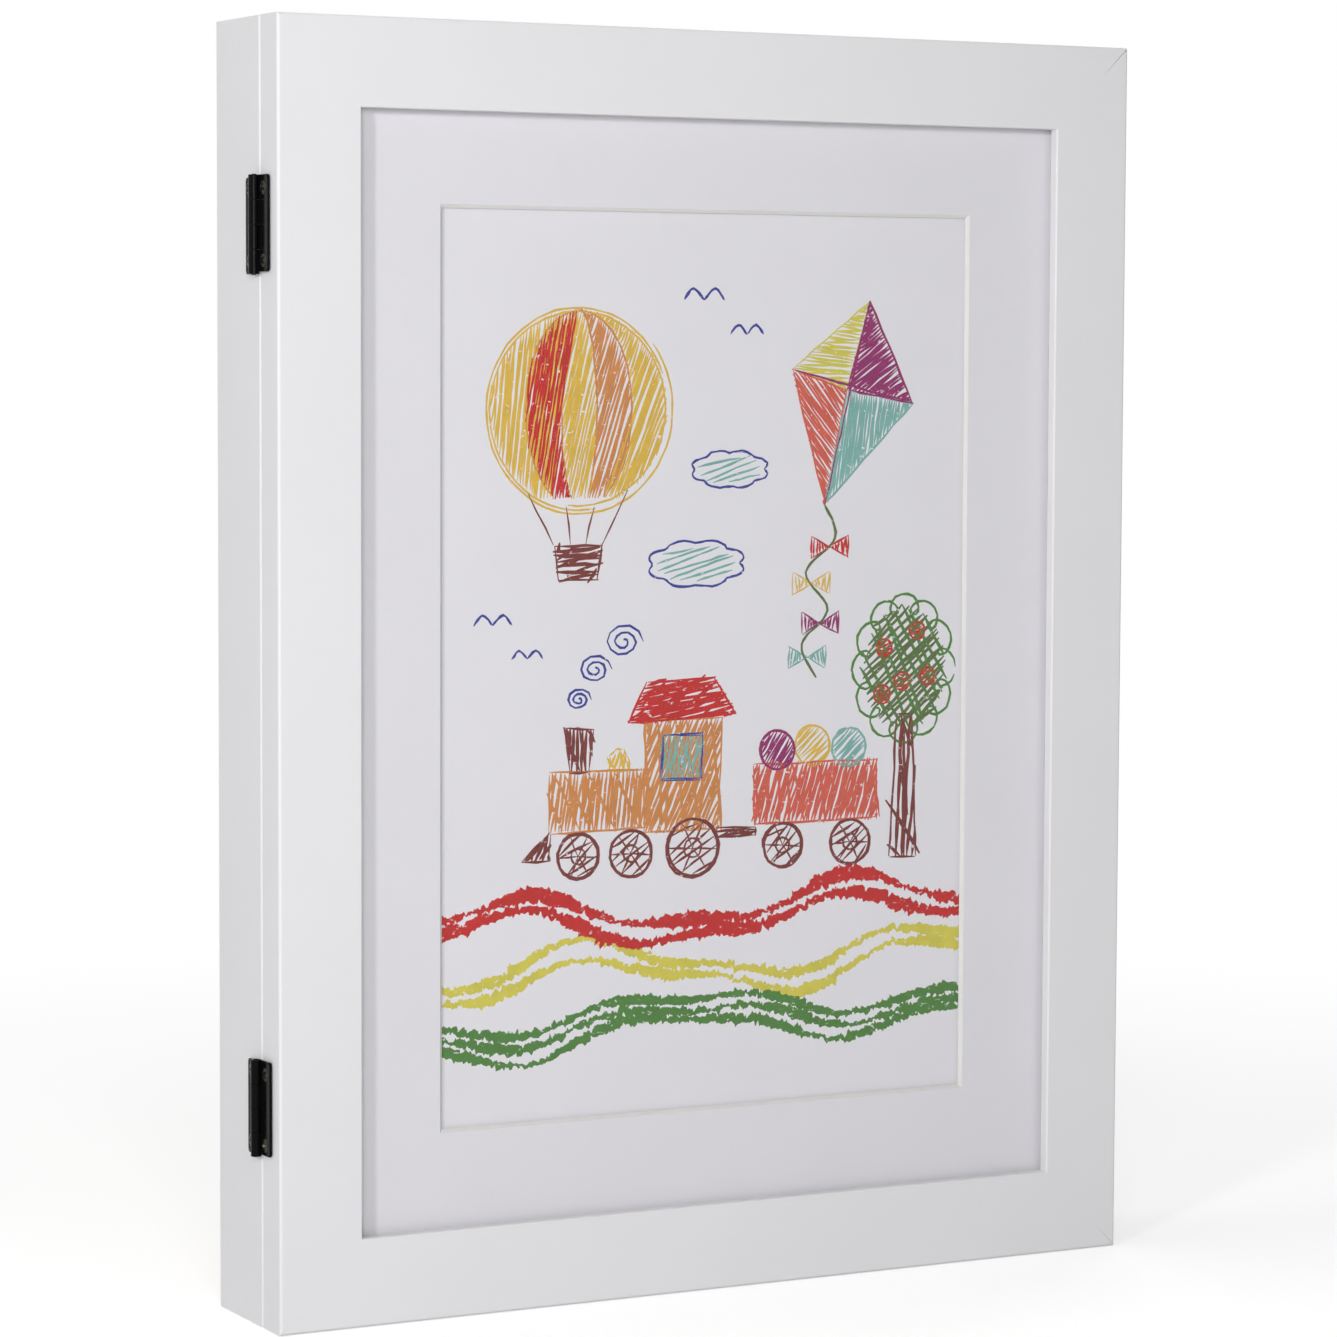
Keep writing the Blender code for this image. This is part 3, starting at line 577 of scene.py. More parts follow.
# Mouldings: four mitred lengths of one outline, whose joints have opened a little at three corners
doorMoulding = {
    "outerRadius": 0.0008,  # front edge at the outside
    "sightRadius": 0.0005,  # front edge beside the glass
    "lipRadius": 0.0003,
    "backRadius": 0.0006,
    "arcSteps": 6,
}
caseMoulding = {
    "frontRadius": 0.0008,  # the rounded edge that shows beside the seam
    "innerRadius": 0.0005,
    "backRadius": 0.0008,
    "arcSteps": 6,
}
mitreLook = {
    "closed": 0.000002,  # half the gap where the joint is tight
    "reach": 0.012,  # how far a joint that has opened stays open, from its outer corner
    "depth": 0.0012,
    "stops": 7,  # places along the opening where its chipped edges bend
    "chips": (0.3, 2.1),  # the share of the width that comes and goes, and how soon
    "open": {"topRight": 0.0002, "bottomLeft": 0.00003, "bottomRight": 0.00006},  # half its width
}
sides = {
    "Left": ("bottomLeft", "topLeft"),
    "Right": ("bottomRight", "topRight"),
    "Bottom": ("bottomLeft", "bottomRight"),
    "Top": ("topLeft", "topRight"),
}


def onSide(side, inward, depth, end):
    # a point of a moulding's outline, at one of its two mitred ends
    gap = math.sqrt(2) * mitreLook["closed"]
    low, high = (frameBottom, frameTop) if side in ("Left", "Right") else (frameLeft, frameRight)
    run = high - inward - gap if end else low + inward + gap
    across = {
        "Left": (frameLeft + inward, depth, run),
        "Right": (frameRight - inward, depth, run),
        "Bottom": (run, depth, frameBottom + inward),
        "Top": (run, depth, frameTop - inward),
    }
    return across[side]


def openMitre(corner):
    # a sliver with chipped edges, cut into both lengths at the outer end of their joint
    look, width, (chip, soon) = mitreLook, mitreLook["open"][corner], mitreLook["chips"]
    left, bottom = "Left" in corner, "bottom" in corner
    start = Vector((frameLeft if left else frameRight, frameBottom if bottom else frameTop))
    along = Vector((1 if left else -1, 1 if bottom else -1)).normalized()
    across = Vector((-along.y, along.x))
    outline = []
    for side in (1, -1):
        edge = []
        for stop in range(-1, look["stops"] + 1):
            share = stop / look["stops"]
            half = width * (1 - share) * (1 - chip + chip * math.sin(soon * side * stop))
            edge.append(start + along * share * look["reach"] + across * side * (half + look["closed"]))
        outline += edge[::side]
    depths = (doorFront - look["depth"], doorFront + look["depth"])
    return joined([[(x, y, z) for x, z in outline] for y in depths])


def mitredLength(side, outline):
    return joined([[onSide(side, inward, depth, end) for inward, depth in outline] for end in (0, 1)])


def doorOutline():
    look, lipBack = doorMoulding, pane[0].y - seatGap
    rebateEdge = pane[0].x - seatGap - frameLeft
    corners = [
        (0, doorFront, look["outerRadius"]),
        (faceWidth, doorFront, look["sightRadius"]),
        (faceWidth, lipBack, look["lipRadius"]),
        (rebateEdge, lipBack, 0),
        (rebateEdge, doorBack, look["lipRadius"]),
        (0, doorBack, look["backRadius"]),
    ]
    return rounded(corners, look["arcSteps"])


def caseOutline():
    look, shoulder = caseMoulding, panel[0].y - seatGap
    rim = panel[0].x - seatGap - frameLeft
    corners = [
        (0, caseFront, look["frontRadius"]),
        (wallWidth, caseFront, look["innerRadius"]),
        (wallWidth, shoulder, 0),
        (rim, shoulder, 0),
        (rim, caseBack, look["innerRadius"]),
        (0, caseBack, look["backRadius"]),
    ]
    return rounded(corners, look["arcSteps"])


slotLook = {
    "nailHalf": 0.0005,  # half the width of a slot for a nail
    "room": 0.0002,  # round a stud or a magnet
    "overrun": 0.002,  # how far a cutter starts outside the moulding
}


def nailSlots():
    # the L-shaped slots that the corner nails stand in, cut from behind
    half, back = slotLook["nailHalf"], doorBack + slotLook["overrun"]
    reach = sizeOf("corner_nail_top_left").x + half
    for end, toZ in (("top", -1), ("bottom", 1)):
        for side, toX in (("left", 1), ("right", -1)):
            node = f"corner_nail_{end}_{side}"
            inward = Vector((toX, 0, toZ))
            corner = middleOf(node, -inward) - inward * half / 2
            corner.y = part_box(node)[0].y - seatGap
            for sizeX, sizeZ in ((reach, 2 * half), (2 * half, reach)):
                yield box(corner, (corner.x + toX * sizeX, back, corner.z + toZ * sizeZ))


def roundSlot(node, outward):
    # a round seat for a stud or a magnet that lies flush in the face that looks outward
    look, size = slotLook, sizeOf(node)
    radius, depth = size.z / 2 + look["room"], size.y + seatGap
    disc = lathe([(0, look["overrun"]), (radius, look["overrun"]), (radius, -depth), (0, -depth)])
    return moved(disc, facing(node, outward))


def makeMouldings():
    nails = list(nailSlots())
    strike, magnet = roundSlot("strike_stud", toBack), roundSlot("catch_magnet", toFront)
    room = Vector((seatGap, seatGap, seatGap))
    straps = []
    for node in ("upper_strap", "lower_strap"):
        low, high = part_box(node)
        straps.append(box(low - room, high + room))
    for side, corners in sides.items():
        upright = side in ("Left", "Right")
        foil, part = ("foilUpright", "stile") if upright else ("foilLevel", "rail")
        cutters = nails + ([strike] if side == "Right" else [])
        cutters += [openMitre(corner) for corner in corners if corner in mitreLook["open"]]
        mesh = shaped(mitredLength(side, doorOutline()), *cutBy(*cutters))
        addPiece(f"doorMoulding{side}", mesh, foil, "door", f"door_{side.lower()}_{part}")
        cutters = (straps if upright else []) + ([magnet] if side == "Right" else [])
        mesh = shaped(mitredLength(side, caseOutline()), *cutBy(*cutters))
        node = f"case_{side.lower()}" + ("_side" if upright else "")
        addPiece(f"caseWall{side}", mesh, foil, "case", node)


# Mat: a window cut at a slant, which bares the board's cream core
matLook = {
    "margins": (0.0251, 0.0256, 0.0256, 0.0246),  # left, right, below and above the window
    "card": 0.0009,  # the bevelled card that shows
    "setBack": 0.0015,  # from the window's edge to the spacer that the card is glued to
    "slant": 0.9,  # a face that looks less straight out than this is a cut one
}


def makeMat():
    look, (low, high) = matLook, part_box("mat_board")
    left, right, below, above = (faceWidth + margin for margin in look["margins"])
    windowLow = Vector((frameLeft + left, 0, frameBottom + below))
    windowHigh = Vector((frameRight - right, 0, frameTop - above))

    def ring(least, most, room, y):
        least, most = least - Vector((room, 0, room)), most + Vector((room, 0, room))
        return [(least.x, y, least.z), (most.x, y, least.z), (most.x, y, most.z), (least.x, y, most.z)]

    cardBack = low.y + look["card"]
    edge = ((look["card"], low.y), (0, cardBack), (look["setBack"], cardBack), (look["setBack"], high.y))
    rings = [ring(windowLow, windowHigh, room, y) for room, y in edge]
    mesh = joined([ring(low, high, 0, low.y), *rings, ring(low, high, 0, high.y)], looped=True)
    mesh.materials.append(finishes["matPaper"])
    mesh.materials.append(finishes["matCore"])
    for face in mesh.polygons:
        face.material_index = int(max(abs(part) for part in face.normal) < look["slant"])
    addPiece("matBoard", mesh, "matPaper", "door", "mat_board", smooth=20, level=False)


# Screws: a head with a cross recess, shared by every screw of its kind
screwLook = {
    "recessReach": 0.62,  # of the head's radius
    "recessWidth": 0.17,  # of the head's radius
    "recessDepth": 0.0011,
    "recessTaper": 0.45,
    "panHeight": 0.001,
    "ovalRise": 0.0003,  # how far a countersunk head swells above its rim
    "ovalRim": 0.00006,  # half the rim of a countersunk head
    "shank": 0.0009,
    "tip": 0.0015,
    "domePowers": (0.9, 0.8),  # these flatten a pan head's round top
    "panRim": 0.08,  # of the head's height
    "panUnder": 0.97,  # of its radius
    "ovalShares": (0.94, 0.985, 0.95),  # of its radius: the swelling, its shoulder and the recess
    "overrun": 0.001,  # how far a cutter starts above the metal
    "sinkRoom": 0.0001,
}


def crossRecess(radius, top):
    look = screwLook
    long, wide = look["recessReach"] * radius, look["recessWidth"] * radius
    outline, arm = [], ((wide, wide), (wide, long), (-wide, long))
    for turn in range(4):
        cos, sin = math.cos(turn * math.pi / 2), math.sin(turn * math.pi / 2)
        outline += [(x * cos - y * sin, x * sin + y * cos) for x, y in arm]
    spread = 1 + (1 - look["recessTaper"]) * top / look["recessDepth"]
    wider = [(x * spread, y * spread) for x, y in outline]
    return bar(wider, top, top - 2 * look["recessDepth"], look["recessTaper"])


def panHead(radius, height, length):
    look, steps = screwLook, 10
    outPower, upPower = look["domePowers"]
    dome = []
    for step in range(steps):
        angle = math.pi / 2 * step / steps
        dome.append((radius * math.sin(angle) ** outPower, height * math.cos(angle) ** upPower))
    shank = look["shank"]
    profile = [*dome, (radius, look["panRim"] * height), (radius * look["panUnder"], 0)]
    profile += [(shank, 0), (shank, look["tip"] - length), (0, -length)]
    return shaped(lathe(profile), *cutBy(crossRecess(radius, height + look["overrun"] / 2)))


def ovalHead(radius, length):
    look, steps = screwLook, 6
    rise, shank, rim = look["ovalRise"], look["shank"], look["ovalRim"]
    swelling, shoulder, recess = (radius * share for share in look["ovalShares"])
    shares = [step / steps for step in range(steps + 1)]
    profile = [(swelling * share, rise * (1 - share ** 2) + 2 * rim) for share in shares]
    profile += [(shoulder, rim), (radius, -rim), (shank, shank - radius)]
    profile += [(shank, look["tip"] - length), (0, -length)]
    return shaped(lathe(profile), *cutBy(crossRecess(recess, rise + look["overrun"] / 2)))


def countersink(node, outward):
    # the dimple that a screw's head lies in, from above the metal down to the shank's hole
    look = screwLook
    above, shank, radius = look["overrun"], look["shank"], sizeOf(node).z / 2 + look["sinkRoom"]
    profile = [(0, above), (radius, above), (radius, 0), (shank, shank - radius)]
    profile += [(shank, shank - radius - above), (0, shank - radius - above)]
    return moved(lathe(profile), facing(node, outward))


# Butt hinges: each leaf is one strip of sheet, rolled round the pin where it has a knuckle
hingeLook = {
    "sheet": 0.0007,
    "knuckles": 4,
    "gap": 0.0001,  # between one knuckle and the next
    "cornerRadius": 0.0009,
    "cornerShares": (0.08, 0.3, 0.6, 1.0),  # where the rows of points cross a leaf's rounded corner
    "bendShare": 1.4,  # of the corner's radius, from a leaf's edge to its first row of points
    "curl": (-180, 108),  # degrees that the roll spans, from the frame on
    "curlSteps": 22,
    "weld": 0.00001,
    "pinHead": 0.0002,
    "edge": 0.00014,
}


def knuckles(level, owner):
    # the heights between which a leaf is rolled round the pin: every other knuckle is its own
    look, (low, high) = hingeLook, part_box(f"{level}_hinge_{owner}_leaf")
    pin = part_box(f"{level}_hinge_pin")
    pitch = (pin[1].z - pin[0].z - 2 * look["pinHead"]) / look["knuckles"]
    top, last = pin[1].z - look["pinHead"], look["knuckles"] - 1
    for index in range(0 if owner == "door" else 1, look["knuckles"], 2):
        lower = low.z if index == last else max(low.z, top - (index + 1) * pitch + look["gap"] / 2)
        upper = high.z if index == 0 else min(high.z, top - index * pitch - look["gap"] / 2)
        yield lower, upper


def hingeLeaf(level, owner):
    look, (low, high) = hingeLook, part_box(f"{level}_hinge_{owner}_leaf")
    doorLeaf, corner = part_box(f"{level}_hinge_door_leaf")[0], look["cornerRadius"]
    radius, edge = pinAxis.x - doorLeaf.x, pinAxis.y - doorLeaf.y
    roll, plateEnd = radius - look["sheet"] / 2, radius + seatGap
    columns = [(-roll, edge - look["bendShare"] * corner), (-roll, plateEnd), (-roll, plateEnd / 2)]
    columns += arc((0, 0), roll, *map(math.radians, look["curl"]), look["curlSteps"])
    own = list(knuckles(level, owner))
    heights = {low.z, high.z}.union(*own)
    for share in look["cornerShares"]:
        heights.update((high.z - share * corner, low.z + share * corner))
    heights, count = sorted(heights), len(columns) + 1
    toEdge = -1 if owner == "door" else 1
    points, faces = [], []
    for z in heights:
        away = min(z - low.z, high.z - z, corner)
        inset = corner - math.sqrt(corner ** 2 - (corner - away) ** 2)
        for out, reach in [(-roll, edge - inset), *columns]:
            points.append((pinAxis.x - out, pinAxis.y + toEdge * reach, z))
    for row, ends in enumerate(zip(heights, heights[1:])):
        rolled = any(lower < sum(ends) / 2 < upper for lower, upper in own)
        for at in range(row * count, row * count + (count - 1 if rolled else 2)):
            faces.append([at, at + 1, at + count + 1, at + count])
    weld = ("WELD", {"merge_threshold": look["weld"]})
    mesh = shaped(meshOf(points, faces), weld, thickened(look["sheet"]))
    screws = [f"{level}_hinge_{owner}_screw_{number}" for number in (1, 2)]
    sinks = [countersink(node, toLeft) for node in screws]
    return shaped(mesh, *cutBy(*sinks), rounding(look["edge"], 2, 50))


def pinMesh(node):
    size, soft = sizeOf(node), hingeLook["pinHead"]
    radius, half = size.y / 2, size.z / 2
    cap = list(arc((radius - soft, half - soft), soft, math.pi / 2, 0, 4))
    profile = [(0, half), *cap, *[(x, -z) for x, z in reversed(cap)], (0, -half)]
    return moved(lathe(profile, 28), Matrix.Translation(middleOf(node)))


def makeHinges():
    turned = random.Random(5)
    head = sizeOf("upper_hinge_door_screw_1")
    screw = ovalHead(head.z / 2, head.x)
    for level in ("upper", "lower"):
        for owner in ("door", "case"):
            name, node = f"{level}Hinge{owner.title()}", f"{level}_hinge_{owner}"
            leaf = hingeLeaf(level, owner)
            addPiece(f"{name}Leaf", leaf, "blackLacquer", owner, f"{node}_leaf", smooth=40)
            for number in (1, 2):
                own = f"{node}_screw_{number}"
                place = facing(own, toLeft, turned.uniform(0, math.pi))
                addPiece(f"{name}Screw{number}", screw, "blackenedSteel", owner, own, place)
        node = f"{level}_hinge_pin"
        addPiece(f"{level}HingePin", pinMesh(node), "blackLacquer", "case", node)


# Turn buttons: moulded fingers with two ridges to push them by, each under a pan head screw
buttonLook = {
    "tipRadius": 0.0021,
    "edge": 0.00028,
    "ridges": (0.62, 0.76),  # two finger ridges near the tip, as shares of the reach
    "ridgeHalf": 0.0002,
    "ridgeLength": 0.6,  # half of it, as a share of the tip's radius
    "ridgeRise": 0.00022,
    "ridgeEdge": 0.0001,
}


def buttonMesh(heel, reach, thick):
    look = buttonLook
    tip, half, side = look["tipRadius"], look["ridgeHalf"], look["tipRadius"] * look["ridgeLength"]
    tipX = reach - tip
    lean = math.acos((heel - tip) / tipX)
    outline = [*arc((0, 0), heel, lean, math.tau - lean, 30), *arc((tipX, 0), tip, -lean, lean, 22)]
    plate = shaped(bar(outline, 0, thick), rounding(look["edge"], 3, 50))
    for share in look["ridges"]:
        middle, top = share * reach, thick + look["ridgeRise"]
        ridge = box((middle - half, -side, thick - half), (middle + half, side, top))
        ridge = shaped(ridge, rounding(look["ridgeEdge"], 2))
        plate = shaped(plate, ("BOOLEAN", {"operation": "UNION", "object": ridge}))
    return plate


def makeButtons():
    turned = random.Random(9)
    low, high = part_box("turn_button_top")
    pivot, size = middleOf("button_screw_top"), sizeOf("button_screw_top")
    mesh = buttonMesh(high.z - pivot.z, pivot.z - low.z, high.y - low.y)
    head = screwLook["panHeight"]
    screw = panHead(size.x / 2, head, size.y - head)
    for key in ("top", "right_upper", "right_lower", "bottom", "left_lower", "left_upper"):
        plate, own = f"turn_button_{key}", f"button_screw_{key}"
        name = key.title().replace("_", "")
        pivot = middleOf(own)
        pivot.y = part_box(plate)[0].y
        toward = middleOf(plate) - pivot
        toward.y = 0
        place = standing(pivot, toBack, toward.normalized())
        addPiece(f"turnButton{name}", mesh, "blackMoulded", f"button_{key}", plate, place)
        place = facing(own, toBack, turned.uniform(0, math.pi), head)
        addPiece(f"buttonScrew{name}", screw, "blackenedSteel", "door", own, place)


# Catch: a plated stud in the door and a ring magnet in the case
catchLook = {
    "soft": 0.0003,  # radius of their rims
    "dome": 0.00008,
    "headHeight": 0.001,
    "recess": 0.6,  # of the stud's radius
    "turned": 45,  # degrees that its cross was left standing at
}


def makeCatch():
    look, shank, size = catchLook, screwLook["shank"], sizeOf("strike_stud")
    radius, soft, dome, head = size.x / 2, look["soft"], look["dome"], look["headHeight"]
    profile = [(0, 0), (radius / 2, -dome / 4), (radius - soft, -dome), (radius, -soft), (radius, -head)]
    profile += [(shank, -head), (shank, screwLook["tip"] - size.y), (0, -size.y)]
    mesh = shaped(lathe(profile), *cutBy(crossRecess(radius * look["recess"], screwLook["overrun"] / 2)))
    place = facing("strike_stud", toBack, math.radians(look["turned"]))
    addPiece("strikeStud", mesh, "zincSteel", "door", "strike_stud", place)
    size = sizeOf("catch_magnet")
    rim = arc((size.x / 2 - soft, -soft), soft, math.pi / 2, 0, 4)
    mesh = lathe([(0, 0), *rim, (size.x / 2, -size.y), (0, -size.y)], 48)
    place = facing("catch_magnet", toFront)
    addPiece("catchMagnet", mesh, "nickelPlate", "case", "catch_magnet", place)


# Straps: elastic with lengthwise ribs, held at both ends
strapLook = {
    "ribs": 7,
    "ribDepth": 0.00014,
    "ribSteps": 6,
    "edge": 0.35,  # share of its thickness that a strap has at its edges
    "edgeSlope": 8,  # how soon it reaches the rest
}


def strapMesh(node):
    look, (low, high) = strapLook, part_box(node)
    middle, half = (low.y + high.y) / 2, (high.y - low.y) / 2 - look["ribDepth"]
    steps = look["ribs"] * look["ribSteps"]
    front, back = [], []
    for step in range(steps + 1):
        share = step / steps
        swell = look["ribDepth"] * (0.5 - 0.5 * math.cos(math.tau * look["ribs"] * share))
        deep = half * min(1, look["edgeSlope"] * min(share, 1 - share) + look["edge"]) + swell
        z = low.z + share * (high.z - low.z)
        front.append((middle - deep, z))
        back.append((middle + deep, z))
    return joined([[(x, y, z) for y, z in front + back[::-1]] for x in (low.x, high.x)])


def makeStraps():
    for level in ("upper", "lower"):
        node = f"{level}_strap"
        addPiece(f"{level}Strap", strapMesh(node), "blackElastic", "case", node, smooth=60)


# Hanger: a pressed strip with a toothed lower edge, bowed off the panel between its two ears
hangerLook = {
    "sheet": 0.0008,
    "rise": 0.0007,
    "barShare": 0.652,  # of the strip's length
    "pitch": 0.003,
    "toothDepth": 0.0015,
    "cornerRadius": 0.0012,
    "edge": 0.00012,
    "turned": (0.4, 1.1),  # how its two screws were left standing
}


def hangerSheet():
    # the strip's middle sheet: its toothed outline, folded where it rises to the bar
    look, size = hangerLook, sizeOf("sawtooth_hanger")
    pitch, rise, soft = look["pitch"], look["rise"], look["cornerRadius"]
    half, tall, barHalf = size.x / 2, size.z / 2, size.x * look["barShare"] / 2
    count = int((2 * barHalf - pitch) / pitch)
    steps = range(2 * count + 1)
    teeth = [((step - count) * pitch / 2, step % 2 * look["toothDepth"] - tall) for step in steps]
    ends = [(half, -tall, soft), (half, tall, soft), (-half, tall, soft), (-half, -tall, soft)]
    shape = bmesh.new()
    shape.faces.new([shape.verts.new((x, 0, z)) for x, z in teeth + rounded(ends, 5)])
    foot = barHalf + rise
    for x in (-foot, -barHalf, barHalf, foot):
        everything = shape.verts[:] + shape.edges[:] + shape.faces[:]
        bmesh.ops.bisect_plane(shape, geom=everything, plane_co=(x, 0, 0), plane_no=(1, 0, 0))
    for vertex in shape.verts:
        vertex.co.y = rise * min(1, max(0, (foot - abs(vertex.co.x)) / rise))
    return takenFrom(shape)


def makeHanger():
    look, own = hangerLook, "sawtooth_hanger"
    spot = middleOf(own, toFront) + toBack * look["sheet"] / 2
    mesh = moved(shaped(hangerSheet(), thickened(look["sheet"])), Matrix.Translation(spot))
    screws = {"hangerScrewLeft": "hanger_screw_left", "hangerScrewRight": "hanger_screw_right"}
    sinks = [countersink(node, toBack) for node in screws.values()]
    mesh = shaped(mesh, *cutBy(*sinks), rounding(look["edge"], 2, 30))
    addPiece("sawtoothHanger", mesh, "zincSteel", "case", own)
    head = sizeOf("hanger_screw_left")
    screw = ovalHead(head.z / 2, head.y)
    for (name, node), angle in zip(screws.items(), look["turned"]):
        addPiece(name, screw, "zincSteel", "case", node, facing(node, toBack, angle))


# Drawing: wax crayon strokes on the sheet, laid out in millimetres from the middle of the window
crayons = {  # the colour, and over how many others it lies
    "Red": ((0.56, 0.02, 0.018), 7),
    "Yellow": ((0.68, 0.60, 0.085), 0),
    "Green": ((0.08, 0.225, 0.045), 5),
    "Gold": ((0.74, 0.47, 0.06), 1),
    "Orange": ((0.64, 0.25, 0.07), 2),
    "Maroon": ((0.19, 0.035, 0.03), 10),
    "Teal": ((0.21, 0.45, 0.41), 4),
    "Blue": ((0.04, 0.05, 0.32), 9),
    "Magenta": ((0.29, 0.02, 0.14), 8),
    "Salmon": ((0.66, 0.115, 0.075), 3),
    "Olive": ((0.11, 0.16, 0.05), 6),
}
waxLook = {
    "sink": 0.03,  # of a stroke's body below the sheet's face
    "rise": 0.05,  # of its ridge above it
    "layerRise": 0.012,  # more for each colour laid over another
    "outline": 0.8,  # width of a stroke that draws a shape
    "pressure": (0.65, 1.35),  # how its width comes and goes
    "tip": (0.4, 0.8),  # the share of its width that it starts with, and how soon it widens
    "wobble": 0.12,
    "calm": 0.08,  # the wobble of a round line
    "pace": 4,  # from one point of a straight line to the next
    "slip": 0.25,  # how far a line misses a corner
    "turns": 1.05,  # of a circle drawn freehand
    "circle": (0.95, 1.04, 0.05),  # least and most size of such a circle, and how far it widens
}
fillLook = {
    "stroke": 1.2,  # width of a stroke that fills a shape
    "cover": 1.0,  # share of the paper that filling strokes cover, before they overlap
    "crossed": 0.35,  # the same for the strokes that go over them the other way
    "crossing": 24,  # degrees between the two
    "loose": 0.4,  # how far a stroke misses the outline
    "bow": 0.3,
    "tilt": 1.1,  # in pitches, as the next one
    "pitches": (0.75, 1.25),
    "pace": 3,
    "wobble": 0.06,
}
roughLook = {
    "stray": (0.08, 0.08),  # how far a strand strays, as a share of the band, and how soon
    "drift": (0.3, 0.5, 0.14),  # how much its width comes and goes, and how soon
    "body": 0.42,  # half a strand's width, as a share of its own place
    "keep": 0.55,  # what an edge keeps of its last ragged step
    "rag": 0.36,
    "tooth": (0.10, 0.2, 1.0),  # how often wax sticks out of an edge, and how far
    "bite": (0.07, 0.4, 1.3),  # how often some is missing, and how much
    "least": 0.05,
}
mm = 0.001
dice = random.Random(31)  # thrown for every unsteady line, in the order of drawing
strokesOf = {name: ([], []) for name in crayons}
grown = {}  # how the motif being drawn lies on the sheet


def layStroke(colour, line, widths):
    # one closed ridge of wax along a line; widths are the distances to its left and right edges
    points, faces = strokesOf[colour]
    low, rise = -waxLook["sink"], waxLook["rise"] + waxLook["layerRise"] * crayons[colour][1]
    about, shift = Vector(grown["about"]), Vector(grown["shift"])
    line = [about + (Vector(spot) - about) * grown["scale"] + shift for spot in line]
    faces.extend(ringFaces(3, len(line), first=len(points)))
    for at, (left, right) in enumerate(widths):
        along = line[min(at + 1, len(line) - 1)] - line[max(at - 1, 0)]
        across = Vector((-along.y, along.x)).normalized()
        for offset, height in ((left, low), (-right, low), ((left - right) / 2, rise)):
            spot = line[at] + across * offset
            points.append((spot.x * mm, sheet[0].y - height * mm, middleZ + spot.y * mm))


def penLine(colour, line, width=waxLook["outline"], wobble=waxLook["wobble"]):
    # a hand-drawn line, a little unsteady, thinner at its ends
    wavy = [(u + dice.uniform(-wobble, wobble), v + dice.uniform(-wobble, wobble)) for u, v in line]
    (start, slope), pressure = waxLook["tip"], waxLook["pressure"]
    widths = []
    for at in range(len(wavy)):
        half = width / 2 * min(1, start + slope * min(at, len(wavy) - 1 - at))
        widths.append((half * dice.uniform(*pressure), half * dice.uniform(*pressure)))
    layStroke(colour, wavy, widths)


def curve(corners, step):
    # a smooth line through the corners
    line, ends = [], [corners[0], *corners, corners[-1]]
    for quad in zip(ends, ends[1:], ends[2:], ends[3:]):
        parts = max(1, round(math.dist(quad[1], quad[2]) / step))
        for part in range(parts):
            t = part / parts
            weights = (-t + 2 * t ** 2 - t ** 3, 2 - 5 * t ** 2 + 3 * t ** 3,
                       t + 4 * t ** 2 - 3 * t ** 3, t ** 3 - t ** 2)
            line.append(tuple(sum(w * p[axis] for w, p in zip(weights, quad)) / 2 for axis in (0, 1)))
    return [*line, corners[-1]]


def straight(first, last):
    parts = max(2, round(math.dist(first, last) / waxLook["pace"]))
    return [tuple(a + (b - a) * part / parts for a, b in zip(first, last)) for part in range(parts + 1)]


def around(centre, radii, angle):
    return centre[0] + radii[0] * math.cos(angle), centre[1] + radii[1] * math.sin(angle)


def oval(centre, radii, count=16):
    return [around(centre, radii, math.tau * at / count) for at in range(count)]


def outlineOf(colour, corners, slip=waxLook["slip"], width=waxLook["outline"], rounds=1):
    # the sides of a shape, each drawn by itself and a little past its corners
    for _ in range(rounds):
        for ends in zip(corners, corners[1:] + corners[:1]):
            slid = [tuple(part + dice.uniform(-slip, slip) for part in corner) for corner in ends]
            penLine(colour, straight(*slid), width)


def ringOf(colour, centre, radius, width=waxLook["outline"], rounds=2):
    # a circle drawn freehand, so that its ends miss each other
    least, most, growth = waxLook["circle"]
    for _ in range(rounds):
        start, size = dice.uniform(0, 6), dice.uniform(least, most)
        steps = max(20, round(radius * 3))
        line = []
        for step in range(steps + 1):
            angle = start + math.tau * waxLook["turns"] * step / steps
            reach = radius * (size + growth * step / steps)
            line.append(around(centre, (reach, reach), angle))
        penLine(colour, line, width, waxLook["calm"])


def scribble(colour, corners, degrees, cover, width=fillLook["stroke"], loose=fillLook["loose"]):
    # shading to and fro across a shape whose corners bulge outwards
    look, angle, pitch = fillLook, math.radians(degrees), width / cover / grown["scale"]
    along, across = Vector((math.cos(angle), math.sin(angle))), Vector((-math.sin(angle), math.cos(angle)))
    flat = [(Vector(corner).dot(along), Vector(corner).dot(across)) for corner in corners]
    level, top = min(b for _, b in flat) + pitch / 2, max(b for _, b in flat) - pitch / 4
    while level < top:
        hits = []
        for (a0, b0), (a1, b1) in zip(flat, flat[1:] + flat[:1]):
            if (b0 - level) * (b1 - level) < 0:
                hits.append(a0 + (a1 - a0) * (level - b0) / (b1 - b0))
        if len(hits) >= 2:
            start, end = min(hits) + dice.uniform(-loose, loose), max(hits) + dice.uniform(-loose, loose)
            bow = dice.uniform(-look["bow"], look["bow"])
            tilt = dice.uniform(-look["tilt"], look["tilt"]) * pitch
            parts = max(3, round((end - start) / look["pace"]))
            line = []
            for part in range(parts + 1):
                share = part / parts
                rise = tilt * (share - 0.5) + bow * 4 * share * (1 - share)
                line.append(along * (start + (end - start) * share) + across * (level + rise))
            penLine(colour, line, width, look["wobble"])
        level += pitch * dice.uniform(*look["pitches"])


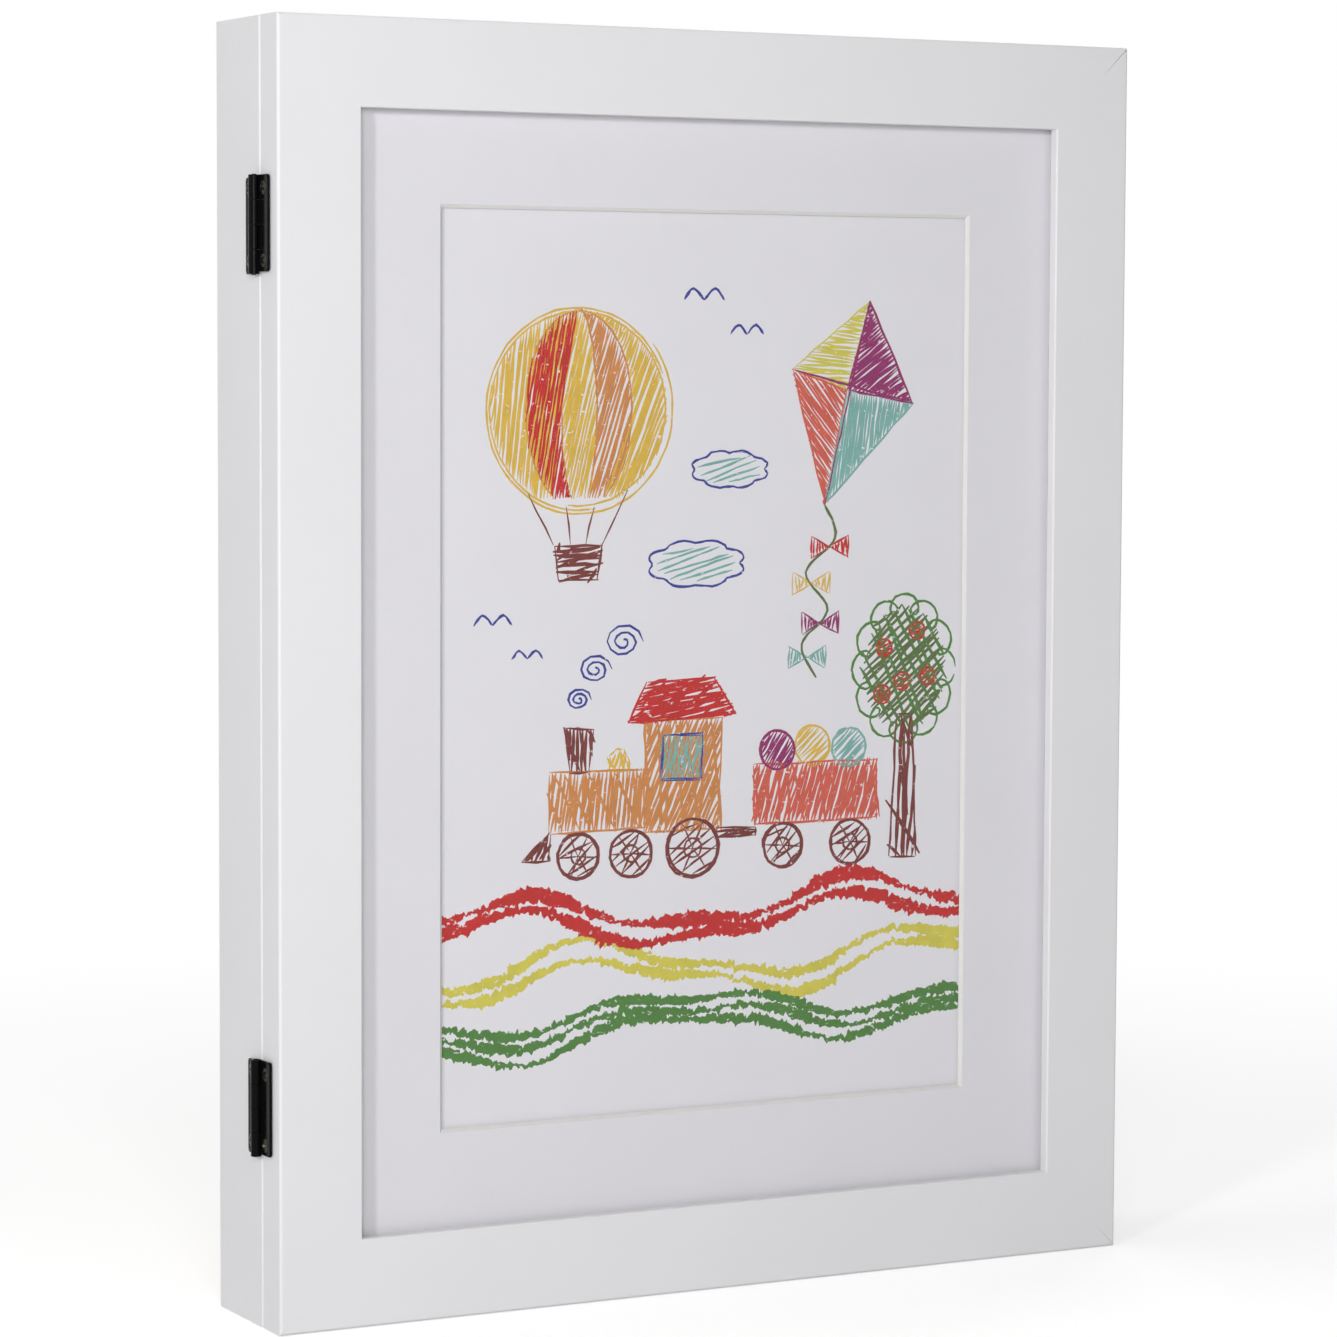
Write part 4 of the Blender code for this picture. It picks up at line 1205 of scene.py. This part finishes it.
def filled(colour, corners, degrees, cover=fillLook["cover"], crossed=fillLook["crossed"]):
    # a shape shaded one way, gone over loosely another way, inside its outline
    scribble(colour, corners, degrees, cover)
    scribble(colour, corners, degrees + fillLook["crossing"], crossed)
    outlineOf(colour, corners)


def roughBand(colour, path, width, strands):
    # rubbed crayon: a few ragged strands that run together here and there
    look = roughLook
    (stray, straySoon), (least, most, soon) = look["stray"], look["drift"]
    (teeth, *tooth), (bites, *bite) = look["tooth"], look["bite"]
    for strand in range(strands):
        share = (strand + 0.5) / strands - 0.5
        phase, drift = dice.uniform(0, 6), dice.uniform(least, most)
        line, widths, rag = [], [], [0.0, 0.0]
        for u, v in path:
            line.append((u, v + width * (share + stray * math.sin(phase + u * straySoon))))
            half = width / strands * look["body"] * (1 + drift * math.sin(2 * phase + u * soon))
            for edge in (0, 1):
                rag[edge] = look["keep"] * rag[edge] + dice.uniform(-look["rag"], look["rag"])
                if dice.random() < teeth:
                    rag[edge] += dice.uniform(*tooth)
                elif dice.random() < bites:
                    rag[edge] -= dice.uniform(*bite)
            widths.append([max(look["least"], half + part) for part in rag])
        layStroke(colour, line, widths)


hillLook = {
    "start": -86,  # a little past the sheet's left edge
    "pace": 0.36,
    "points": 479,
    "rows": [("Red", -67, 4.5, 8.5, 2), ("Yellow", -81, 5.0, 8.5, 2), ("Green", -95, 4.0, 9.5, 3)],
}


def drawHills():
    # three rows of hills across the whole sheet: each one's height, swing, width and strands
    look = hillLook
    for colour, base, swing, width, strands in look["rows"]:
        path = []
        for step in range(look["points"]):
            u = look["start"] + step * look["pace"]
            v = base + swing * math.sin(u / 17 + base / 9) + 0.35 * swing * math.sin(u / 7.5 + base)
            path.append((u, v))
        roughBand(colour, path, width, strands)


def drawWheel(centre, radius):
    scribble("Maroon", oval(centre, (radius, radius)), 35, 0.35, 0.8)
    ringOf("Maroon", centre, radius, 0.9)
    ringOf("Maroon", centre, radius * 0.35, 0.7, 1)
    for spoke in range(6):
        angle = spoke * math.pi / 3 + dice.uniform(-0.15, 0.15)
        penLine("Maroon", straight(centre, around(centre, (radius, radius), angle)), 0.7)


def boxOf(left, bottom, right, top, lean=0.0):
    return [(left, bottom), (right, bottom), (right + lean, top), (left + lean, top)]


def drawTrain():
    # an engine with a cab, pulling one wagon along the red hills
    filled("Orange", boxOf(-27, -45, -3, -32), 82, 1.3)
    filled("Orange", boxOf(-4, -46, 15, -21, 0.8), 66, 1.3)
    filled("Red", [(-8, -21.5), (19.5, -20.5), (14, -12), (-3, -12.5)], 9, 1.4, 0.5)
    window = boxOf(0.5, -34.5, 10.5, -24.5, 0.5)
    filled("Teal", window, 80, 1.3)
    outlineOf("Blue", window, 0.35, rounds=2)
    filled("Maroon", [(-22, -32), (-17.5, -32), (-16, -22.5), (-23.5, -22)], 86)
    filled("Gold", [(-12.5, -32), (-7.5, -32), (-7.8, -29), (-9, -27.4), (-11, -27.4), (-12.3, -29)], 80)
    filled("Maroon", [(-27, -45), (-34, -51), (-27, -51)], 60, 0.8)
    filled("Salmon", boxOf(24, -45.5, 56, -32), 72, 1.3)
    for u, v, colour in ((30, -29, "Magenta"), (39, -28.3, "Gold"), (48.5, -29, "Teal")):
        scribble(colour, oval((u, v), (4.4, 4.4), 12), dice.uniform(30, 80), 1.2, 0.9, 0.2)
        ringOf(colour, (u, v), 4.4, 0.7)
    filled("Maroon", boxOf(14.5, -48, 24.5, -46), 0, 1.2)
    for u, v, radius in ((-20, -50.5, 5), (-7, -50.5, 5), (8.5, -50, 6.3), (31.5, -50.5, 5), (49, -50.5, 5)):
        drawWheel((u, v), radius)
    for u, v, size in ((-20, -16, 3.2), (-16, -9.5, 4.2), (-9, -3.5, 5.0)):
        reaches = [size * (1 - step / 26) for step in range(24)]
        smoke = [around((u, v), (reach, 0.8 * reach), step * 0.62) for step, reach in enumerate(reaches)]
        penLine("Blue", smoke, 0.75, waxLook["calm"])


def drawBalloon():
    # a striped hot air balloon, upper left
    centre, radius = (-36, 66), 21

    def meridian(share, steps):
        ups = [math.radians(-62 + 152 * step / steps) for step in range(steps + 1)]
        return [around(centre, (radius * share, radius), up) for up in ups]

    for stripe, colour in enumerate(("Gold", "Red", "Gold", "Orange", "Gold")):
        left, right = -1 + stripe * 0.4, -0.6 + stripe * 0.4
        corners = meridian(left, 8) + meridian(right, 8)[::-1]
        scribble(colour, corners, 84 - 4 * stripe, 1.4, 1.0, 0.3)
    ringOf("Gold", centre, radius)
    for share in (-0.6, -0.2, 0.2, 0.6):
        penLine("Orange", meridian(share, 12))
    filled("Maroon", [(-41, 30), (-31.5, 30.2), (-30.5, 37.5), (-42, 37.3)], 4, 0.85, 0.4)
    for foot, top in ((-42, (-48, 48.5)), (-38, (-39, 45.5)), (-34.5, (-32.5, 45.5)), (-30.5, (-24.5, 49))):
        penLine("Maroon", straight((foot, 37.5), top), 0.6)


def drawKite():
    # a kite of four colours, upper right, with bows on its tail
    middle, points = (39, 71), [(45, 92), (57, 68), (33, 44), (24, 76)]
    for at, colour in enumerate(("Magenta", "Teal", "Salmon", "Yellow")):
        corners = [middle, points[at], points[(at + 1) % 4]]
        scribble(colour, corners, 35 + 47 * at, 1.4, 1.0, 0.3)
        outlineOf(colour, corners)
    for ends in (points[::2], points[1::2]):
        penLine("Magenta", straight(*ends), 0.9)
    tail = curve([(33, 44), (36, 36), (28, 28), (34, 19), (27, 11), (31, 3)], 1.5)
    for _ in range(2):
        penLine("Olive", tail)
    for u, v, colour in ((34.5, 34, "Red"), (29.5, 25.5, "Gold"), (32, 16, "Magenta"), (28.5, 8, "Teal")):
        for far in (u + 5, u - 5):
            bow = [(u, v), (far, v + 2.6), (far, v - 2.6)]
            scribble(colour, bow, 90, 0.9, 0.8, 0.15)
            outlineOf(colour, bow, 0.2, 0.7)


def drawTree():
    # an apple tree on the right, its crown one long curly line
    filled("Maroon", [(61, -54), (68, -54), (66.5, -20), (62.5, -20)], 88, 0.85, 0.2)
    crown = oval((64.5, -9), (11.5, 15))
    scribble("Olive", crown, 40, 0.75)
    scribble("Green", crown, 118, 0.45)
    turns = enumerate(oval((64.5, -9), (12, 15.5), 150))
    curls = [around(spot, (2.3, 2.3), math.tau * 13 * step / 150) for step, spot in turns]
    penLine("Green", curls, 0.9, waxLook["calm"])
    for apple in ((59, -4), (68, 0), (64, -12), (71, -11), (58.5, -15)):
        scribble("Red", oval(apple, (2.1, 2.1), 8), 20, 0.95, 0.8, 0.1)
        ringOf("Red", apple, 2.1, 0.7)


def drawBirds():
    # birds of two strokes each, and two clouds
    for u, v, size in ((-2, 97, 6), (11, 88, 5), (-64, 12, 5.5), (-54, 3, 4.5)):
        for reach in (size, -size):
            wing = curve([(u - reach, v), (u - reach * 0.55, v + size * 0.5), (u, v)], 1)
            penLine("Blue", wing, 0.85, 0.06)
    for u, v, size in ((-4, 27, 1), (6, 52, 0.8)):
        puffs = []
        for angle in (math.tau * step / 55 for step in range(56)):
            reach = size * (1 + 0.16 * abs(math.sin(4 * angle)))
            puffs.append(around((u, v), (13 * reach, 5.5 * reach), angle))
        penLine("Blue", puffs, 0.75, waxLook["calm"])
        scribble("Teal", oval((u, v), (size * 12, size * 4.6)), 14, 0.5, 0.8, 0.3)


# Each motif's size, the point it grows about and how far it then moves
motifs = [
    (drawHills, 1.0, (0, 0), (0, 0)),
    (drawTrain, 1.2, (0, -50), (-15, 1)),
    (drawBalloon, 1.24, (-36, 66), (-3, 2)),
    (drawKite, 1.14, (39, 71), (3, 2)),
    (drawTree, 1.15, (64.5, -50), (-4, 0)),
    (drawBirds, 1.0, (0, 0), (0, 0)),
]


def makeDrawing():
    for draw, scale, about, shift in motifs:
        grown.update({"scale": scale, "about": about, "shift": shift})
        draw()
    for name, (colour, _) in crayons.items():
        finishes[f"crayon{name}"] = crayonFinish(f"crayon{name}", colour)
        mesh = meshOf(*strokesOf[name])
        addPiece(f"drawing{name}", mesh, f"crayon{name}", "door", smooth=60, level=False)


# Pieces whose shape in the model is already right: their finish and how far their edges are softened
plainLook = {
    "glazing_pane": ("clearGlass", 0),
    "artwork_sheet": ("drawingPaper", 0),
    "backing_board": ("whiteBoard", 0.0003),
    "back_panel": ("brownHardboard", 0.0003),
    "store_liner": ("blackFelt", 0),
    "corner_nail_top_left": ("zincSteel", 0.0001),
    "corner_nail_top_right": ("zincSteel", 0.0001),
    "corner_nail_bottom_left": ("zincSteel", 0.0001),
    "corner_nail_bottom_right": ("zincSteel", 0.0001),
}


def dressNodes():
    for node, (finish, width) in plainLook.items():
        part = frame["nodes"][node]
        part.data.materials.clear()
        part.data.materials.append(finishes[finish])
        if width:
            modify(part, *rounding(width, 2))


# Floor, lights and camera
stageLook = {
    "floorSize": 12.0,
    "floorDrop": 0.0002,  # below what stands on it
    "floorColour": (0.8, 0.8, 0.8),
    "floorShade": (0.78, 0.78, 0.78),
    "floorGrain": 0.01,
    "floorGlow": 0.45,  # lifts the lit floor to white for the camera
    "fadeStart": 0.20,  # from here outwards the floor turns to plain white
    "fadeEnd": 0.70,
    "skyLight": 0.19,
}


def floorFinish():
    look, finish = stageLook, Finish("paleFloor")
    grain = finish.noise(look["floorGrain"], 3)
    colour = finish.blend(grain * 0.2, look["floorColour"], look["floorShade"])
    lit = finish.surface(Base_Color=colour, Roughness=0.9, Specular_IOR_Level=0.1)
    glow, white = (finish.node("ShaderNodeEmission", None, {"Color": (1, 1, 1, 1), "Strength": strength})
                   for strength in (look["floorGlow"], 1.0))
    lifted = finish.node("ShaderNodeAddShader", None, {0: lit, 1: glow})
    far = finish.node("ShaderNodeVectorMath", {"operation": "LENGTH"}, {0: finish.place()}, "Value")
    ends = {"Value": far, "From Min": look["fadeStart"], "From Max": look["fadeEnd"]}
    fade = finish.node("ShaderNodeMapRange", {"interpolation_type": "SMOOTHSTEP"}, ends)
    shown = finish.node("ShaderNodeMixShader", None, {0: fade, 1: lifted, 2: white})
    return finish.done(finish.node("ShaderNodeMixShader", None, {0: finish.seen(), 1: lit, 2: shown}))


def makeFloor():
    half = stageLook["floorSize"] / 2
    mesh = bpy.data.meshes.new("floor")
    mesh.from_pydata([(-half, -half, 0), (half, -half, 0), (half, half, 0), (-half, half, 0)], [], [range(4)])
    mesh.materials.append(floorFinish())
    floor = linked("floor", mesh)
    floor.location.z = frameBottom - stageLook["floorDrop"]


lampLook = {  # its place, size and watts
    "front": ((-0.55, -1.10, 0.42), 0.40, 6.2),
    "key": ((-1.01, -0.81, 0.50), 0.12, 4.5),
    "side": ((-1.25, 0.20, 0.68), 0.80, 1.7),
    "rear": ((1.10, 1.20, 0.90), 1.20, 7.0),
    "top": ((-0.10, 0.12, 1.20), 0.50, 2.4),
}


def makeLamps():
    for name, (place, size, watts) in lampLook.items():
        lamp = bpy.data.lights.new(name, "AREA")
        lamp.size, lamp.energy = size, watts
        holder = linked(name, lamp)
        holder.location = place
        aim = Vector((0, 0, middleZ)) - holder.location
        holder.rotation_euler = aim.to_track_quat("-Z", "Y").to_euler()


def makeSky():
    sky = Finish("studio", "worlds")
    ends = {"Value": sky.seen(), "To Min": stageLook["skyLight"], "To Max": 1.0}
    strength = sky.node("ShaderNodeMapRange", None, ends)
    light = sky.node("ShaderNodeBackground", None, {"Color": (1, 1, 1, 1), "Strength": strength})
    bpy.context.scene.world = sky.done(light, "ShaderNodeOutputWorld")


cameraLook = {
    "at": (-0.5543, -1.0405, 0.2511),
    "yaw": 27.828,  # degrees to the right of straight on
    "down": 4.153,
    "roll": 0.238,
    "lens": 117.96,
    "film": 36,
}


def makeCamera():
    look, camera = cameraLook, bpy.data.cameras.new("camera")
    camera.lens, camera.sensor_width = look["lens"], look["film"]
    matrix = Matrix.Translation(look["at"])
    for degrees, axis in ((-look["yaw"], "Z"), (90 - look["down"], "X"), (look["roll"], "Z")):
        matrix = matrix @ Matrix.Rotation(math.radians(degrees), 4, axis)
    holder = linked("camera", camera)
    holder.matrix_world = matrix
    bpy.context.scene.camera = holder


makeMouldings()
makeMat()
print("mouldings and mat made")
makeHinges()
makeButtons()
makeCatch()
makeStraps()
makeHanger()
dressNodes()
print("hardware made")
makeDrawing()
print("drawing made")
makeFloor()
makeLamps()
makeSky()
makeCamera()
bpy.context.scene.view_settings.view_transform = "Standard"
print("stage set")
